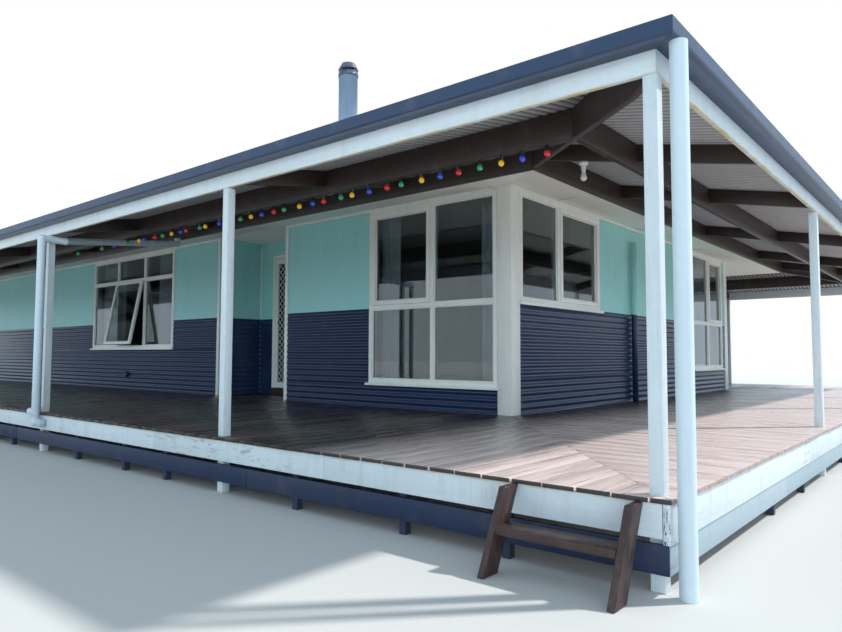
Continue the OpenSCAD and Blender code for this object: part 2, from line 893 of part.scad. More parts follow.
// Rafter under the hip, as deep as the purlins, notched over the corner post, its top
// bevelled to both slopes
module hip_rafter() {
    run = norm([1, corner_ratio]);
    d0 = post_inset;
    d1 = eaves_d + post_w;
    rest = deck_h + post_h + seat;
    notch = (rest - under_roof(0, front_rise) + purlin_h) / front_rise;
    difference() {
        intersection() {
            translate([dx, -dy, 0]) rotate([0, 0, 90 + atan(corner_ratio)])
                translate([0, rafter_w / 2, 0]) rotate([90, 0, 0]) linear_extrude(rafter_w) polygon([
                    [d0 * run, rest], [notch * run, rest],
                    [d1 * run, under_roof(d1, front_rise) - purlin_h],
                    [d1 * run, under_roof(d1, front_rise)], [d0 * run, under_roof(d0, front_rise)]]);
            roof_space(seat);
            inside(beam_in, beam_in);
        }
        inside(eaves_d * corner_ratio - seat, eaves_d - seat);
    }
}

// All the space x_in and y_in inside the deck edges
module inside(x_in, y_in) {
    translate([x_in - dx, y_in - dy, 0]) cube([2 * (dx - x_in), 2 * (dy - y_in), 2 * wall_top]);
}

beam_room = 300;
beam_in = post_inset + beam_t + seat;

// Rafter of the right side that carries on the line of the front eaves
module corner_rafter() {
    x = -dy + corner_rafter_y;
    d = purlin_d * corner_ratio;
    rafter(1, x, beam_in, d - seat);
    rafter(1, x, d + rafter_w + seat, eaves_d * corner_ratio - seat);
}

module verandah_rafters() {
    color("#3b2a26") {
        for (side = [0:3]) {
            run = run_of(side);
            posts = side % 2 == 0 ? [for (i = [1:bays - 1]) (i - bays / 2) * bay_w]
                : [for (i = [-1:1]) i * mid_bay_w];
            for (x = posts) {
                rafter(side, x, beam_in, purlin_d * run - seat);
                rafter(side, x, purlin_d * run + rafter_w + seat, eaves_d * run - seat);
            }
        }
        for (mx = [0, 1], my = [0, 1]) mirror([mx, 0, 0]) mirror([0, my, 0]) {
            hip_rafter();
            corner_rafter();
        }
    }
}

module verandah_beams() {
    color("white") for (side = [0:3]) intersection() {
        side_run(side) translate([post_inset, deck_h + post_h + seat]) square([beam_t, beam_room]);
        roof_space(seat);
    }
}

// Roof

module roof_side(side) {
    rise = rise_of(side);
    reach = side % 2 == 0 ? dy : dy * corner_ratio;
    side_run(side, corner_ratio, 40, reach, 12)
        polygon([[-roof_lap, under_roof(-roof_lap, rise)], [reach - 6, under_roof(reach - 6, rise)],
            [reach - 6, under_roof(reach - 6, rise) + roof_t],
            [-roof_lap, under_roof(-roof_lap, rise) + roof_t]]);
}

module front_and_rear_roof() {
    color("slategray") for (side = [0, 2]) roof_side(side);
}

module side_roofs() {
    color("slategray") for (side = [1, 3]) roof_side(side);
}

roll_r = 26;
cap_w = 150;
cap_t = 3;
cap_up = 1;
hip_end = 10;

// Profile of a ridge or hip cap: two wings that drop with the slopes and a half-round roll
module cap_profile(drop_right, drop_left) {
    polygon([[-cap_w, -drop_left], [0, 0], [cap_w, -drop_right], [cap_w, cap_t - drop_right],
        [0, cap_t], [-cap_w, cap_t - drop_left]]);
    intersection() {
        circle(r = roll_r);
        translate([-roll_r, 1]) square([2 * roll_r, roll_r]);
    }
}

module hip_cap() {
    plan = norm([dy, dy * corner_ratio]);
    up = dy * front_rise;
    slant = norm([1, corner_ratio]);
    intersection() {
        translate([dx, -dy, deck_h + eave_z + roof_t + cap_up])
            rotate([0, 0, 90 + atan(corner_ratio)]) rotate([0, -atan(up / plan), 0])
                translate([-cap_w, 0, 0]) rotate([90, 0, 90]) linear_extrude(norm([plan, up]) - hip_end)
                    cap_profile(cap_w * front_rise * corner_ratio / slant, cap_w * side_rise / slant);
        translate([-dx - roof_lap, -dy - roof_lap, 0])
            cube([2 * (dx + roof_lap), 2 * (dy + roof_lap), 2 * wall_top]);
    }
}

module ridge_and_hip_caps() {
    color("slategray") {
        for (mx = [0, 1], my = [0, 1]) mirror([mx, 0, 0]) mirror([0, my, 0]) hip_cap();
        translate([-ridge_x, 0, under_roof(dy, front_rise) + roof_t + cap_up])
            rotate([90, 0, 90]) linear_extrude(2 * ridge_x)
                cap_profile(cap_w * front_rise, cap_w * front_rise);
    }
}

// Gutters and downpipes

gutter_back_d = post_inset - seat;
gutter_z = deck_h + post_h + gutter_up;

module gutter_profile() {
    front = gutter_back_d - gutter_w;
    t = gutter_t;
    difference() {
        translate([front, gutter_z]) square([gutter_w, gutter_h]);
        translate([front + t, gutter_z + t]) square([gutter_w - 2 * t, gutter_h]);
        translate([gutter_back_d - t - 1, gutter_z + gutter_back]) square([t + 2, gutter_h]);
        difference() {
            translate([front - 1, gutter_z - 1]) square([gutter_r + 1, gutter_r + 1]);
            translate([front + gutter_r, gutter_z + gutter_r]) circle(r = gutter_r);
        }
    }
    difference() {
        translate([front + gutter_r, gutter_z + gutter_r]) circle(r = gutter_r);
        translate([front + gutter_r, gutter_z + gutter_r]) circle(r = gutter_r - t);
        translate([front + gutter_r, gutter_z - 1]) square([gutter_r + 1, 2 * gutter_r + 2]);
        translate([front - 1, gutter_z + gutter_r]) square([2 * gutter_r, gutter_r + 2]);
    }
}

module gutters() {
    color("#3f5876") for (side = [0:3]) side_run(side) gutter_profile();
}

pipe_top = gutter_z - seat;

pipe_off = pipe_gap + pipe_d / 2;
stub_len = 150;
foot_z = 335;
eye_z = 450;
collar = 8;
collar_l = 26;
clip_h = 20;
turn_y = post_inset + post_w + cross_d;
cross_z0 = deck_h + post_h - cross_d / 2 - 14;
cross_z1 = deck_h + lining_out_z - fascia_drop - cross_drop;

// A round pipe from point a to point b, with a socket at b where it turns
module pipe_leg(a, b, d, ball = true) {
    way = b - a;
    translate(a) rotate([0, acos(way[2] / norm(way)), atan2(way[1], way[0])])
        cylinder(d = d, h = norm(way));
    if (ball) translate(b) sphere(d = d + collar);
}

// Downpipe beside a front post, with a branch to each side at its foot
module post_pipe() {
    x = (pipe_post - 1 - bays / 2) * bay_w + pipe_side;
    y = -dy - pipe_off;
    foot = [x, y, foot_z];
    translate(foot) cylinder(d = pipe_d, h = cross_z0 - foot_z);
    translate([x, y, cross_z0]) sphere(d = pipe_d + collar);
    translate([x, y, deck_h - clip_h - 1]) cylinder(r = pipe_off - seat, h = clip_h);
    pipe_leg(foot + [stub_len, 0, 0], foot, pipe_d);
    pipe_leg([x - stub_len, y, eye_z], [x, y, eye_z], pipe_d - 2 * collar, false);
    for (a = [[stub_len - collar_l, foot_z, pipe_d], [-stub_len, eye_z, pipe_d - 2 * collar]])
        translate([x + a[0], y, a[1]]) rotate([0, 90, 0]) cylinder(d = a[2] + collar, h = collar_l);
}

// Pipe under the verandah roof, from the eaves down to the front downpipe
module cross_pipe() {
    x = (pipe_post - 1 - bays / 2) * bay_w + pipe_side;
    start = [x, -dy - pipe_off, cross_z0];
    turn = [x, -dy + turn_y, cross_z0];
    end = [x - cross_run, -dy + eaves_d - cross_d / 2 - collar, cross_z1];
    pipe_leg(start, turn, cross_d);
    pipe_leg(turn, end, cross_d);
    pipe_leg(end, end + [0, 0, cross_d], cross_d, false);
    translate(end + [0, 0, cross_d - collar_l]) cylinder(d = cross_d + collar, h = collar_l);
}

module downpipes() {
    color("white") {
        post_pipe();
        cross_pipe();
        for (mx = [0, 1], my = [0, 1]) mirror([mx, 0, 0]) mirror([0, my, 0])
            translate([dx + pipe_gap + pipe_d / 2, -dy + pipe_in, 0])
                tube(pipe_d, pipe_t, pipe_top);
    }
}

module tube(d, t, h) {
    difference() {
        cylinder(d = d, h = h);
        translate([0, 0, -1]) cylinder(d = d - 2 * t, h = h + 2);
    }
}

// Flue

boot_w = 260;
ring_h = 50;
flue_ring = 16;
flue_air = 30;

// Everything below the top of the front roof slope
module under_front_slope() {
    at_side(0) rotate([90, 0, 90]) linear_extrude(2 * hx, center = true)
        polygon([[0, 0], [dy, 0], [dy, under_roof(dy, front_rise) + roof_t + seat],
            [0, under_roof(0, front_rise) + roof_t + seat]]);
}

module flue() {
    x = hx - flue_x;
    y = -hy + flue_y;
    base = under_roof(ver_front + flue_y - flue_d, front_rise);
    top = deck_h + flue_top;
    color("#64788a") difference() {
        translate([x, y, base]) {
            tube(flue_d, flue_t, top - base);
            difference() {
                cylinder(d1 = flue_d + boot_w, d2 = flue_d + flue_ring, h = boot_w);
                translate([0, 0, -1]) cylinder(d = flue_d - 1, h = boot_w + 2);
            }
        }
        under_front_slope();
    }
    color("#64788a") translate([x, y, 0]) {
        translate([0, 0, top - flue_air - ring_h]) difference() {
            cylinder(d = flue_d + flue_ring, h = ring_h);
            translate([0, 0, -1]) cylinder(d = flue_d - 1, h = ring_h + 2);
        }
        for (a = [0:90:270]) rotate([0, 0, a])
            translate([flue_d / 2 - flue_t - strap_t * 2, -strap_w / 2, top - 2 * flue_air])
                cube([strap_t * 2, strap_w, 3 * flue_air + 2]);
        translate([0, 0, top + flue_air]) cylinder(d1 = flue_d + flue_ring, d2 = flue_d * 0.72, h = cap_h);
    }
}

// Small fittings on the walls

outlet_side = 60;
outlet_z = 281;
outlet_d = 95;
outlet_l = 40;

module wall_fittings() {
    color("lightgray") {
        translate([tri_left + tri_w / 2 - outlet_side, -hy - wave_h - sheet_t - 2 * seat,
            deck_h + outlet_z]) rotate([90, 0, 0]) cylinder(d = outlet_d, h = outlet_l);
        translate([hx + trim_t + 3 * seat + wall_pipe_d / 2, -hy + wall_pipe_y, deck_h + seat])
            cylinder(d = wall_pipe_d, h = wall_pipe_h);
    }
}

rose_d = 78;
rose_h = 24;
holder_d = 50;
holder_h = 62;
bulb_d = 56;
bulb_h = 52;

// Rose against the rafter, lamp holder below it, bulb hanging down
module verandah_light() {
    top = under_roof(light_d - rose_d / 2, side_rise) - rafter_h - 2 * seat;
    color("white") translate([dx - light_d, -dy + corner_rafter_y, top]) mirror([0, 0, 1]) {
        cylinder(d = rose_d, h = rose_h);
        translate([0, 0, rose_h - 1]) cylinder(d1 = holder_d, d2 = bulb_d * 0.6, h = holder_h + 1);
        translate([0, 0, rose_h + holder_h - 1]) cylinder(d1 = bulb_d / 2, d2 = bulb_d, h = bulb_h + 1);
        translate([0, 0, rose_h + holder_h + bulb_h]) sphere(d = bulb_d);
    }
}

// String of party globes along the bottom of the front purlin

socket_d = 26;
socket_h = 34;
festoon_end = 1260;

module festoon_lights() {
    z = under_roof(purlin_d, front_rise) - purlin_h - seat;
    y = -dy + purlin_d - cable_d / 2 - seat;
    x_end = dx - festoon_end;
    color("red") {
        translate([x_end - globes * globe_gap, y, z]) rotate([0, 90, 0])
            cylinder(d = cable_d, h = globes * globe_gap);
        for (i = [0:globes - 1]) translate([x_end - i * globe_gap, y, z - socket_h]) {
            cylinder(d = socket_d, h = socket_h - seat);
            translate([0, 0, -globe_d * 0.4]) sphere(d = globe_d);
        }
    }
}

// Steps at two corners of the deck: two leaning side boards and one tread

step_top = deck_h - board_t - seat;
step_back = nosing - seat;

module step_side() {
    rotate([90, 0, 90]) linear_extrude(step_board_t)
        polygon([[-step_out, 0], [-step_out + step_board_w, 0],
            [step_back, step_top], [step_back - step_board_w, step_top]]);
}

module side_step() {
    x1 = dx - step_x;
    x0 = x1 - step_w;
    lean = step_out + step_back - step_board_w;
    mid = -step_out + step_board_w / 2 + lean * tread_z / step_top;
    color("#4a332c") translate([0, -dy, 0]) {
        translate([x0, 0, 0]) step_side();
        translate([x1 - step_board_t, 0, 0]) step_side();
        translate([x0 + step_board_t + seat, mid - tread_d / 2, tread_z - tread_t])
            cube([step_w - 2 * step_board_t - 2 * seat, tread_d, tread_t]);
    }
}

module side_steps() {
    side_step();
    rotate([0, 0, 180]) side_step();
}

stumps();
deck_bearers();
deck();
rim_boards();
skirt_boards();
house_floor();
front_wall_left();
front_wall_right();
porch_side_walls();
porch_back_walls();
porch_over_door();
right_wall();
rear_wall();
left_wall();
front_dado();
side_and_rear_dado();
white_trims();
triple_window();
open_sash();
corner_window();
right_high_window();
right_low_window();
rear_and_left_windows();
window_glass();
door_frame();
threshold();
screen_door();
door_mesh();
eaves_lining();
ceiling();
eaves_fascia();
verandah_purlins();
verandah_rafters();
verandah_beams();
verandah_posts();
front_and_rear_roof();
side_roofs();
ridge_and_hip_caps();
gutters();
downpipes();
flue();
wall_fittings();
verandah_light();
festoon_lights();
side_steps();
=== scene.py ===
"""Beach house with a wraparound verandah: boards, iron, windows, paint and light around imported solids."""

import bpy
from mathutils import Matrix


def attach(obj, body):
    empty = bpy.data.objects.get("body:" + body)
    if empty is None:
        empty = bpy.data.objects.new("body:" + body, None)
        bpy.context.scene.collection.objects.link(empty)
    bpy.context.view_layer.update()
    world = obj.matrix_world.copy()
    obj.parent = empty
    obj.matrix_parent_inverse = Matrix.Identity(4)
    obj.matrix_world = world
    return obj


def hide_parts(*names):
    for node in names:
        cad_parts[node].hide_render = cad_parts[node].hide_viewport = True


bl_info = {
    "name": "Beach house",
    "version": (1, 0, 0),
    "blender": (4, 5, 0),
    "location": "View3D > Sidebar > Beach house",
    "description": "Dresses a low house with a wraparound verandah: deck boards, roof iron, windows, paint",
    "category": "Object",
}

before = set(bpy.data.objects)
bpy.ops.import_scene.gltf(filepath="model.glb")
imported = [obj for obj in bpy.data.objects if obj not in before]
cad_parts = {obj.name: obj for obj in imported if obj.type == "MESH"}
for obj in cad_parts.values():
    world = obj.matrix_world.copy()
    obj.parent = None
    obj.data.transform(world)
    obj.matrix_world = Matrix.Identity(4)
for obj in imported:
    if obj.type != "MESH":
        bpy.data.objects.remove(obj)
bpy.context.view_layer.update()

import math
import random

import bmesh
import bpy
from bpy.props import FloatProperty, FloatVectorProperty, PointerProperty
from bpy.types import Operator, Panel, PropertyGroup
from mathutils import Matrix, Vector

# Main lines of the house, in metres: X along the front, Y to the rear, Z up
DECK_X, DECK_Y = 10.599, 7.099
DECK_TOP = 0.44
BOARD_T = 0.025
HOUSE_X, HOUSE_Y = 7.769, 3.959
# Porch: its left and right side wall and its back wall
PORCH = (2.310, 3.955, -3.169)
DEPTH = {0: DECK_Y - HOUSE_Y, 1: DECK_X - HOUSE_X}
HIP_RATIO = DEPTH[1] / DEPTH[0]
DADO_TOP = 1.68
HEAD_Z = 2.927
EAVE_Z = 2.598
RISE = {0: math.tan(math.radians(10.3)), 1: math.tan(math.radians(10.3)) / HIP_RATIO}
ROOF_LAP = 0.008
# Middle of the corrugations over the roof's underside
WAVE_MIDDLE = 0.009
# Stain along an edge of the rim boards and of the beams: height, depth and colour
RIM_STAIN, BEAM_STAIN = (0.415, 0.016, "#b9a878"), (2.438, 0.010, "#c4b787")
# Rounding of small parts, of the steps, the threshold, the door's leaf and the bars of its lattice
FINE_EDGE, STEP_EDGE, SILL_EDGE, LEAF_EDGE, BAR_EDGE = 0.002, 0.005, 0.003, 0.0015, 0.0006


def linear(code):
    """Turns a hex colour as seen into linear values."""
    parts = [int(code[i:i + 2], 16) / 255 for i in (1, 3, 5)]
    return tuple(c / 12.92 if c <= 0.04045 else ((c + 0.055) / 1.055) ** 2.4 for c in parts)


def metres(name, description, default):
    return FloatProperty(name=name, description=description, default=default, min=0.0, max=10.0,
                         unit="LENGTH", precision=4)


def strength(name, description, default):
    return FloatProperty(name=name, description=description, default=default, min=0.0)


def paint(name, description, code):
    return FloatVectorProperty(name=name, description=description, default=linear(code), subtype="COLOR",
                               size=3, min=0.0, max=1.0)


# Settings that a user would change

class DeckSizes(PropertyGroup):
    board_pitch: metres("Board pitch", "Distance from one deck board to the next", 0.186)
    board_gap: metres("Board gap", "Open gap between two deck boards", 0.008)
    board_round: metres("Board rounding", "Rounding of the boards' edges", 0.0045)
    uneven: metres("Uneven ends", "How far the board ends vary along the edge", 0.007)


class RoofSizes(PropertyGroup):
    wave_pitch: metres("Wave pitch", "Distance between two crests of the corrugated iron", 0.0762)
    wave_depth: metres("Wave depth", "Height of a crest over its valley", 0.0165)
    sheet_t: metres("Sheet thickness", "Thickness of the corrugated sheet", 0.0006)
    screw_d: metres("Screw head", "Width of a roof screw's head", 0.015)


class JoinerySizes(PropertyGroup):
    sash_face: metres("Sash face", "Face width of a window sash", 0.050)
    sash_proud: metres("Sash proud", "How far a shut sash stands out of its frame", 0.014)
    bead: metres("Glazing bead", "Width of the bead round each pane", 0.012)
    edge: metres("Edge rounding", "Rounding of painted timber edges", 0.003)
    lattice_pitch: metres("Lattice pitch", "Height of one diamond of the door's lattice", 0.103)
    lattice_bar: metres("Lattice bar", "Width of the door's lattice bars", 0.0085)
    curtain_wave: metres("Curtain fold", "How far a curtain's folds stand out to each side", 0.028)
    curtain_pitch: metres("Curtain pleat", "Distance from one fold of a curtain to the next", 0.085)


class LightSizes(PropertyGroup):
    globe_d: metres("Globe diameter", "Diameter of a party globe", 0.046)
    cable_d: metres("Cable diameter", "Diameter of the festoon cable", 0.007)
    sun: strength("Sun", "Strength of the soft sun", 3.1)
    sky: strength("Sky", "Strength of the surrounding light", 0.85)
    fill: strength("Fill", "Strength of the wide low light from the front", 1.2)


class PaintColours(PropertyGroup):
    aqua: paint("Aqua", "Wall sheets above the dado", "#9bd5d3")
    navy: paint("Navy", "Corrugated dado and skirt boards", "#1c2f50")
    # This white leans blue: part of it is the cool cast of sky shade, painted into the colour.
    white: paint("White", "Posts, beams and rim boards", "#dfe9ef")
    cream: paint("Cream", "Window frames, corner boards and linings", "#f2f4f0")
    brown: paint("Brown", "Fascia, purlins, rafters and steps", "#2c2220")
    deck: paint("Deck stain", "Deck boards", "#443232")
    iron: paint("Roof iron", "Corrugated roof sheets", "#c2c2c4")
    slate: paint("Slate blue", "Gutters", "#293d5c")


ALL_GROUPS = {"house_deck": DeckSizes, "house_roof": RoofSizes, "house_joinery": JoinerySizes,
              "house_lights": LightSizes, "house_paints": PaintColours}


# Shader nodes

class Nodes:
    """Short ways to add nodes to one tree."""

    def __init__(self, tree):
        self.tree = tree

    def fill(self, node, values):
        """Links sockets to a node's inputs, and sets numbers, vectors and hex colours on them."""
        for key, value in values.items():
            socket = node.inputs[key]
            if isinstance(value, bpy.types.NodeSocket):
                self.tree.links.new(value, socket)
            elif isinstance(value, (int, float)):
                socket.default_value = value
            else:
                value = linear(value) if isinstance(value, str) else value
                socket.default_value = (*value, 1.0)[:len(socket.default_value)]
        return node

    def add(self, kind, values=None, **fields):
        node = self.tree.nodes.new("ShaderNode" + kind)
        for field, value in fields.items():
            setattr(node, field, value)
        return self.fill(node, values or {})

    def maths(self, operation, *values, clamp=False):
        return self.add("Math", dict(enumerate(values)), operation=operation, use_clamp=clamp).outputs[0]

    def times(self, a, b, clamp=False):
        return self.maths("MULTIPLY", a, b, clamp=clamp)

    def ranged(self, value, low, high, to_low=0.0, to_high=1.0):
        return self.add("MapRange", dict(enumerate((value, low, high, to_low, to_high)))).outputs[0]

    def noise(self, vector, scale, detail=4.0, rough=0.5, distortion=0.0):
        return self.add("TexNoise", {"Vector": vector, "Scale": scale, "Detail": detail,
                                     "Roughness": rough, "Distortion": distortion}).outputs["Fac"]

    def stretched(self, vector, scale, turn=(0.0, 0.0, 0.0)):
        return self.add("Mapping", {"Vector": vector, "Scale": scale, "Rotation": turn}).outputs[0]

    def streaks(self, vector, scale, detail, rough=0.5, distortion=0.0):
        """Noise drawn out along one or more axes."""
        return self.noise(self.stretched(vector, scale), 1.0, detail, rough, distortion)

    def mixed(self, factor, a, b):
        return self.add("Mix", {0: factor, 6: a, 7: b}, data_type="RGBA").outputs[2]

    def split(self, vector):
        return self.add("SeparateXYZ", {0: vector}).outputs


# Shader node groups, each built once

SOCKETS = {"Vector": "NodeSocketVector", "Colour": "NodeSocketColor", "Grime": "NodeSocketColor"}


def new_group(name, inputs, outputs):
    """A node group with its sockets: its nodes, what it is given and its output node."""
    tree = bpy.data.node_groups.new(name, "ShaderNodeTree")
    for way, titles in (("INPUT", inputs), ("OUTPUT", outputs)):
        for title in titles:
            kind = SOCKETS.get(title, "NodeSocketFloat")
            made = tree.interface.new_socket(title, in_out=way, socket_type=kind)
            if way == "INPUT" and inputs[title] is not None:
                made.default_value = inputs[title]
    return Nodes(tree), tree.nodes.new("NodeGroupInput").outputs, tree.nodes.new("NodeGroupOutput")


def paint_group():
    """Old house paint: broad drift of tone, fine mottling and grime in runs down the surface."""
    n, given, out = new_group("House paint", {
        "Vector": None, "Colour": None, "Drift": 0.08, "Grime": (0.12, 0.11, 0.09, 1.0),
        "Grime Amount": 0.3, "Chalk": 0.05}, ("Colour", "Mask", "Height"))
    vector = given["Vector"]
    broad = n.ranged(n.noise(vector, 0.8, 3.0), 0.3, 0.7, -1.0, 1.0)
    fine = n.ranged(n.noise(vector, 23.0, 6.0, 0.65), 0.3, 0.7, -0.5, 0.5)
    sway = n.times(n.maths("ADD", broad, fine), given["Drift"])
    tone = n.add("HueSaturation", {"Value": n.maths("ADD", sway, 1.0), "Color": given["Colour"]})
    runs = n.streaks(vector, (9.0, 9.0, 0.7), 6.0, 0.6)
    spots = n.noise(vector, 5.0, 8.0, 0.7)
    grime = n.times(n.ranged(runs, 0.5, 0.78), n.ranged(spots, 0.35, 0.7))
    mask = n.times(grime, given["Grime Amount"], clamp=True)
    dusty = n.times(n.ranged(spots, 0.55, 0.75), given["Chalk"])
    chalked = n.mixed(dusty, tone.outputs[0], (0.85, 0.87, 0.88))
    n.fill(out, {"Colour": n.mixed(mask, chalked, given["Grime"]), "Mask": mask,
                 "Height": n.noise(vector, 60.0, 5.0, 0.6)})
    return n.tree


def grain_group():
    """Timber grain that runs along X of the vector it is given."""
    n, given, out = new_group("Timber grain", {"Vector": None}, ("Figure", "Check", "Height"))
    figure = n.streaks(given["Vector"], (0.9, 22.0, 22.0), 6.0, 0.6, 0.6)
    fibre = n.streaks(given["Vector"], (3.0, 150.0, 150.0), 3.0)
    check = n.ranged(n.streaks(given["Vector"], (1.6, 60.0, 60.0), 2.0, 0.4), 0.66, 0.72)
    body = n.maths("ADD", n.times(figure, 0.6), n.times(fibre, 0.4))
    n.fill(out, {"Figure": body, "Check": check, "Height": n.maths("SUBTRACT", body, check)})
    return n.tree


def chips_group():
    """Flakes and cracks through which old paint shows what is under it."""
    n, given, out = new_group("Paint chips", {"Vector": None, "Amount": 0.3}, ("Mask",))
    vector = given["Vector"]
    patches = n.ranged(n.noise(vector, 1.3, 3.0), 0.45, 0.7)
    flakes = n.ranged(n.streaks(vector, (6.0, 30.0, 30.0), 8.0, 0.72), 0.56, 0.6)
    lines = n.ranged(n.streaks(vector, (2.2, 75.0, 75.0), 3.0, 0.5, 0.3), 0.63, 0.67)
    bare = n.times(n.maths("MAXIMUM", flakes, lines), patches)
    n.fill(out, {"Mask": n.times(bare, given["Amount"], clamp=True)})
    return n.tree


def joints_group():
    """Thin lines at an even pitch along X of the vector it is given."""
    n, given, out = new_group("Sheet joints", {"Vector": None, "Pitch": 0.9, "Width": 0.004}, ("Mask",))
    turns = n.maths("DIVIDE", n.split(given["Vector"])["X"], given["Pitch"])
    off = n.maths("ABSOLUTE", n.maths("SUBTRACT", n.maths("FRACT", turns), 0.5))
    apart = n.times(off, given["Pitch"])
    n.fill(out, {"Mask": n.ranged(apart, 0.0, given["Width"], 1.0, 0.0)})
    return n.tree


MAKERS = {"paint": paint_group, "grain": grain_group, "chips": chips_group, "joints": joints_group}
GROUPS = {}


def shared(name):
    if name not in GROUPS:
        GROUPS[name] = MAKERS[name]()
    return GROUPS[name]


class Finish(Nodes):
    """A material in the making: its tree, its shader and the object's own coordinates."""

    def __init__(self, name, rough, looks=None):
        self.material = bpy.data.materials.new(name)
        self.material.use_nodes = True
        super().__init__(self.material.node_tree)
        self.shader = self.tree.nodes["Principled BSDF"]
        self.fill(self.shader, {"Roughness": rough, **(looks or {})})
        self.place = self.add("TexCoord").outputs["Object"]

    def group(self, name, vector=None, **values):
        given = {key.replace("_", " "): value for key, value in values.items()}
        return self.add("Group", {"Vector": vector or self.place, **given}, node_tree=shared(name)).outputs

    def along(self, axis):
        """Object coordinates turned so that their X runs along the given axis."""
        turn = {"X": (0, 0, 0), "Y": (0, 0, -math.pi / 2), "Z": (0, math.pi / 2, 0)}[axis]
        return self.stretched(self.place, (1.0, 1.0, 1.0), turn)

    def attribute(self, name):
        return self.add("Attribute", attribute_name=name).outputs["Fac"]

    def done(self, colour, rough=None, bump=None):
        """Sets the colour, the roughness as mask, low and high, and the bump as height, strength, depth."""
        self.fill(self.shader, {"Base Color": colour})
        if rough:
            mask, low, high = rough
            self.fill(self.shader, {"Roughness": self.ranged(mask, 0.0, 1.0, low, high)})
        if bump:
            node = self.add("Bump", dict(zip(("Height", "Strength", "Distance"), bump)))
            self.fill(self.shader, {"Normal": node.outputs[0]})
        return self.material


def painted(name, colour, rough, drift=0.05, grime=(0.13, 0.11, 0.09), amount=0.25, chalk=0.05, bump=0.1,
            coat=0.0):
    """Sheet, metal or plastic under house paint."""
    f = Finish(name, rough, {"Coat Weight": coat})
    out = f.group("paint", Colour=colour, Drift=drift, Grime=grime, Grime_Amount=amount, Chalk=chalk)
    return f.done(out["Colour"], (out["Mask"], rough, rough + 0.35), (out["Height"], bump, 0.001))


def painted_timber(name, colour, under, rough, chips=0.3, axis="X", grain=0.35, amount=0.3, band=None):
    """Painted or stained timber: grain under the paint, worn through in flakes and along checks. band is
    the height, the depth and the colour of a stain along an edge."""
    f = Finish(name, rough)
    run = f.along(axis)
    base = f.group("paint", Colour=colour, Drift=0.05, Grime=(0.13, 0.10, 0.08), Grime_Amount=amount,
                   Chalk=0.04)
    wood = f.group("grain", run)
    bare = f.group("chips", run, Amount=chips)["Mask"]
    top = f.mixed(bare, f.mixed(f.times(wood["Figure"], 0.25), base["Colour"], under), under)
    if band:
        level, deep, stain = band
        away = f.maths("ABSOLUTE", f.maths("SUBTRACT", f.split(f.place)["Z"], level))
        patchy = f.ranged(f.streaks(f.place, (4.0, 4.0, 30.0), 6.0, 0.7), 0.35, 0.6)
        top = f.mixed(f.times(f.ranged(away, 0.0, deep, 1.0, 0.0), patchy), top, stain)
    return f.done(top, (bare, rough, 0.85), (f.maths("SUBTRACT", wood["Height"], bare), grain, 0.0012))


# Where the deck begins to turn pale and where it is palest, as distance from the middle: partly bleaching by
# the sun, partly painted sunlight on the outer boards
BLEACH_AND_SUNLIGHT = (8.0, 8.8)


def deck_stain(name, colour, axis, end, shown):
    """Stained deck boards: each with its own tone, worn pale on top, with grain, checks and painted ends
    whose colour carries painted light and shade, and paler towards the outer sides as bleaching and painted
    sunlight.
    """
    f = Finish(name, 0.3)
    run = f.along(axis)
    tone = f.attribute("tone")
    wood = f.group("grain", run)
    board = f.mixed(f.ranged(tone, 0.0, 1.0, 0.0, 0.6), colour, "#3c2a2c")
    board = f.mixed(f.ranged(tone, 0.8, 1.0, 0.0, 0.5), board, "#846a62")
    figured = f.mixed(f.ranged(wood["Figure"], 0.35, 0.65, 0.0, 0.55), board, "#2e2124")
    worn = f.ranged(f.streaks(run, (0.5, 5.0, 5.0), 7.0, 0.65), 0.45, 0.75)
    pale = f.mixed(f.times(worn, 0.4), figured, "#94807a")
    # Paler towards the outer sides: partly bleaching, partly a painted sunlit highlight.
    outer = f.ranged(f.maths("ABSOLUTE", f.split(f.place)["X"]), *BLEACH_AND_SUNLIGHT, 0.0, 0.95)
    patchy = f.ranged(f.streaks(run, (0.8, 9.0, 9.0), 7.0, 0.7), 0.05, 0.5)
    sunlit_and_bleached = f.mixed(f.times(outer, patchy), pale, "#efdad5")
    checked = f.mixed(f.times(wood["Check"], 0.7), sunlit_and_bleached, "#20171a")
    return f.done(f.mixed(f.times(f.attribute("cut_end"), shown), checked, end),
                  (worn, 0.24, 0.5), (wood["Height"], 0.35, 0.0012))


def end_grain(name, colour):
    """Painted end of a board, split by many small dark cracks."""
    f = Finish(name, 0.6)
    out = f.group("paint", Colour=colour, Drift=0.06, Grime="#5a5348", Grime_Amount=0.5, Chalk=0.1)
    cracks = f.ranged(f.streaks(f.place, (160.0, 160.0, 22.0), 4.0, 0.6, 0.4), 0.57, 0.63)
    rings = f.ranged(f.noise(f.place, 300.0, 3.0), 0.6, 0.68)
    holes = f.maths("MAXIMUM", cracks, f.times(rings, 0.7))
    return f.done(f.mixed(holes, out["Colour"], "#1b1b20"), (holes, 0.55, 0.9),
                  (f.maths("SUBTRACT", 1.0, holes), 0.8, 0.002))


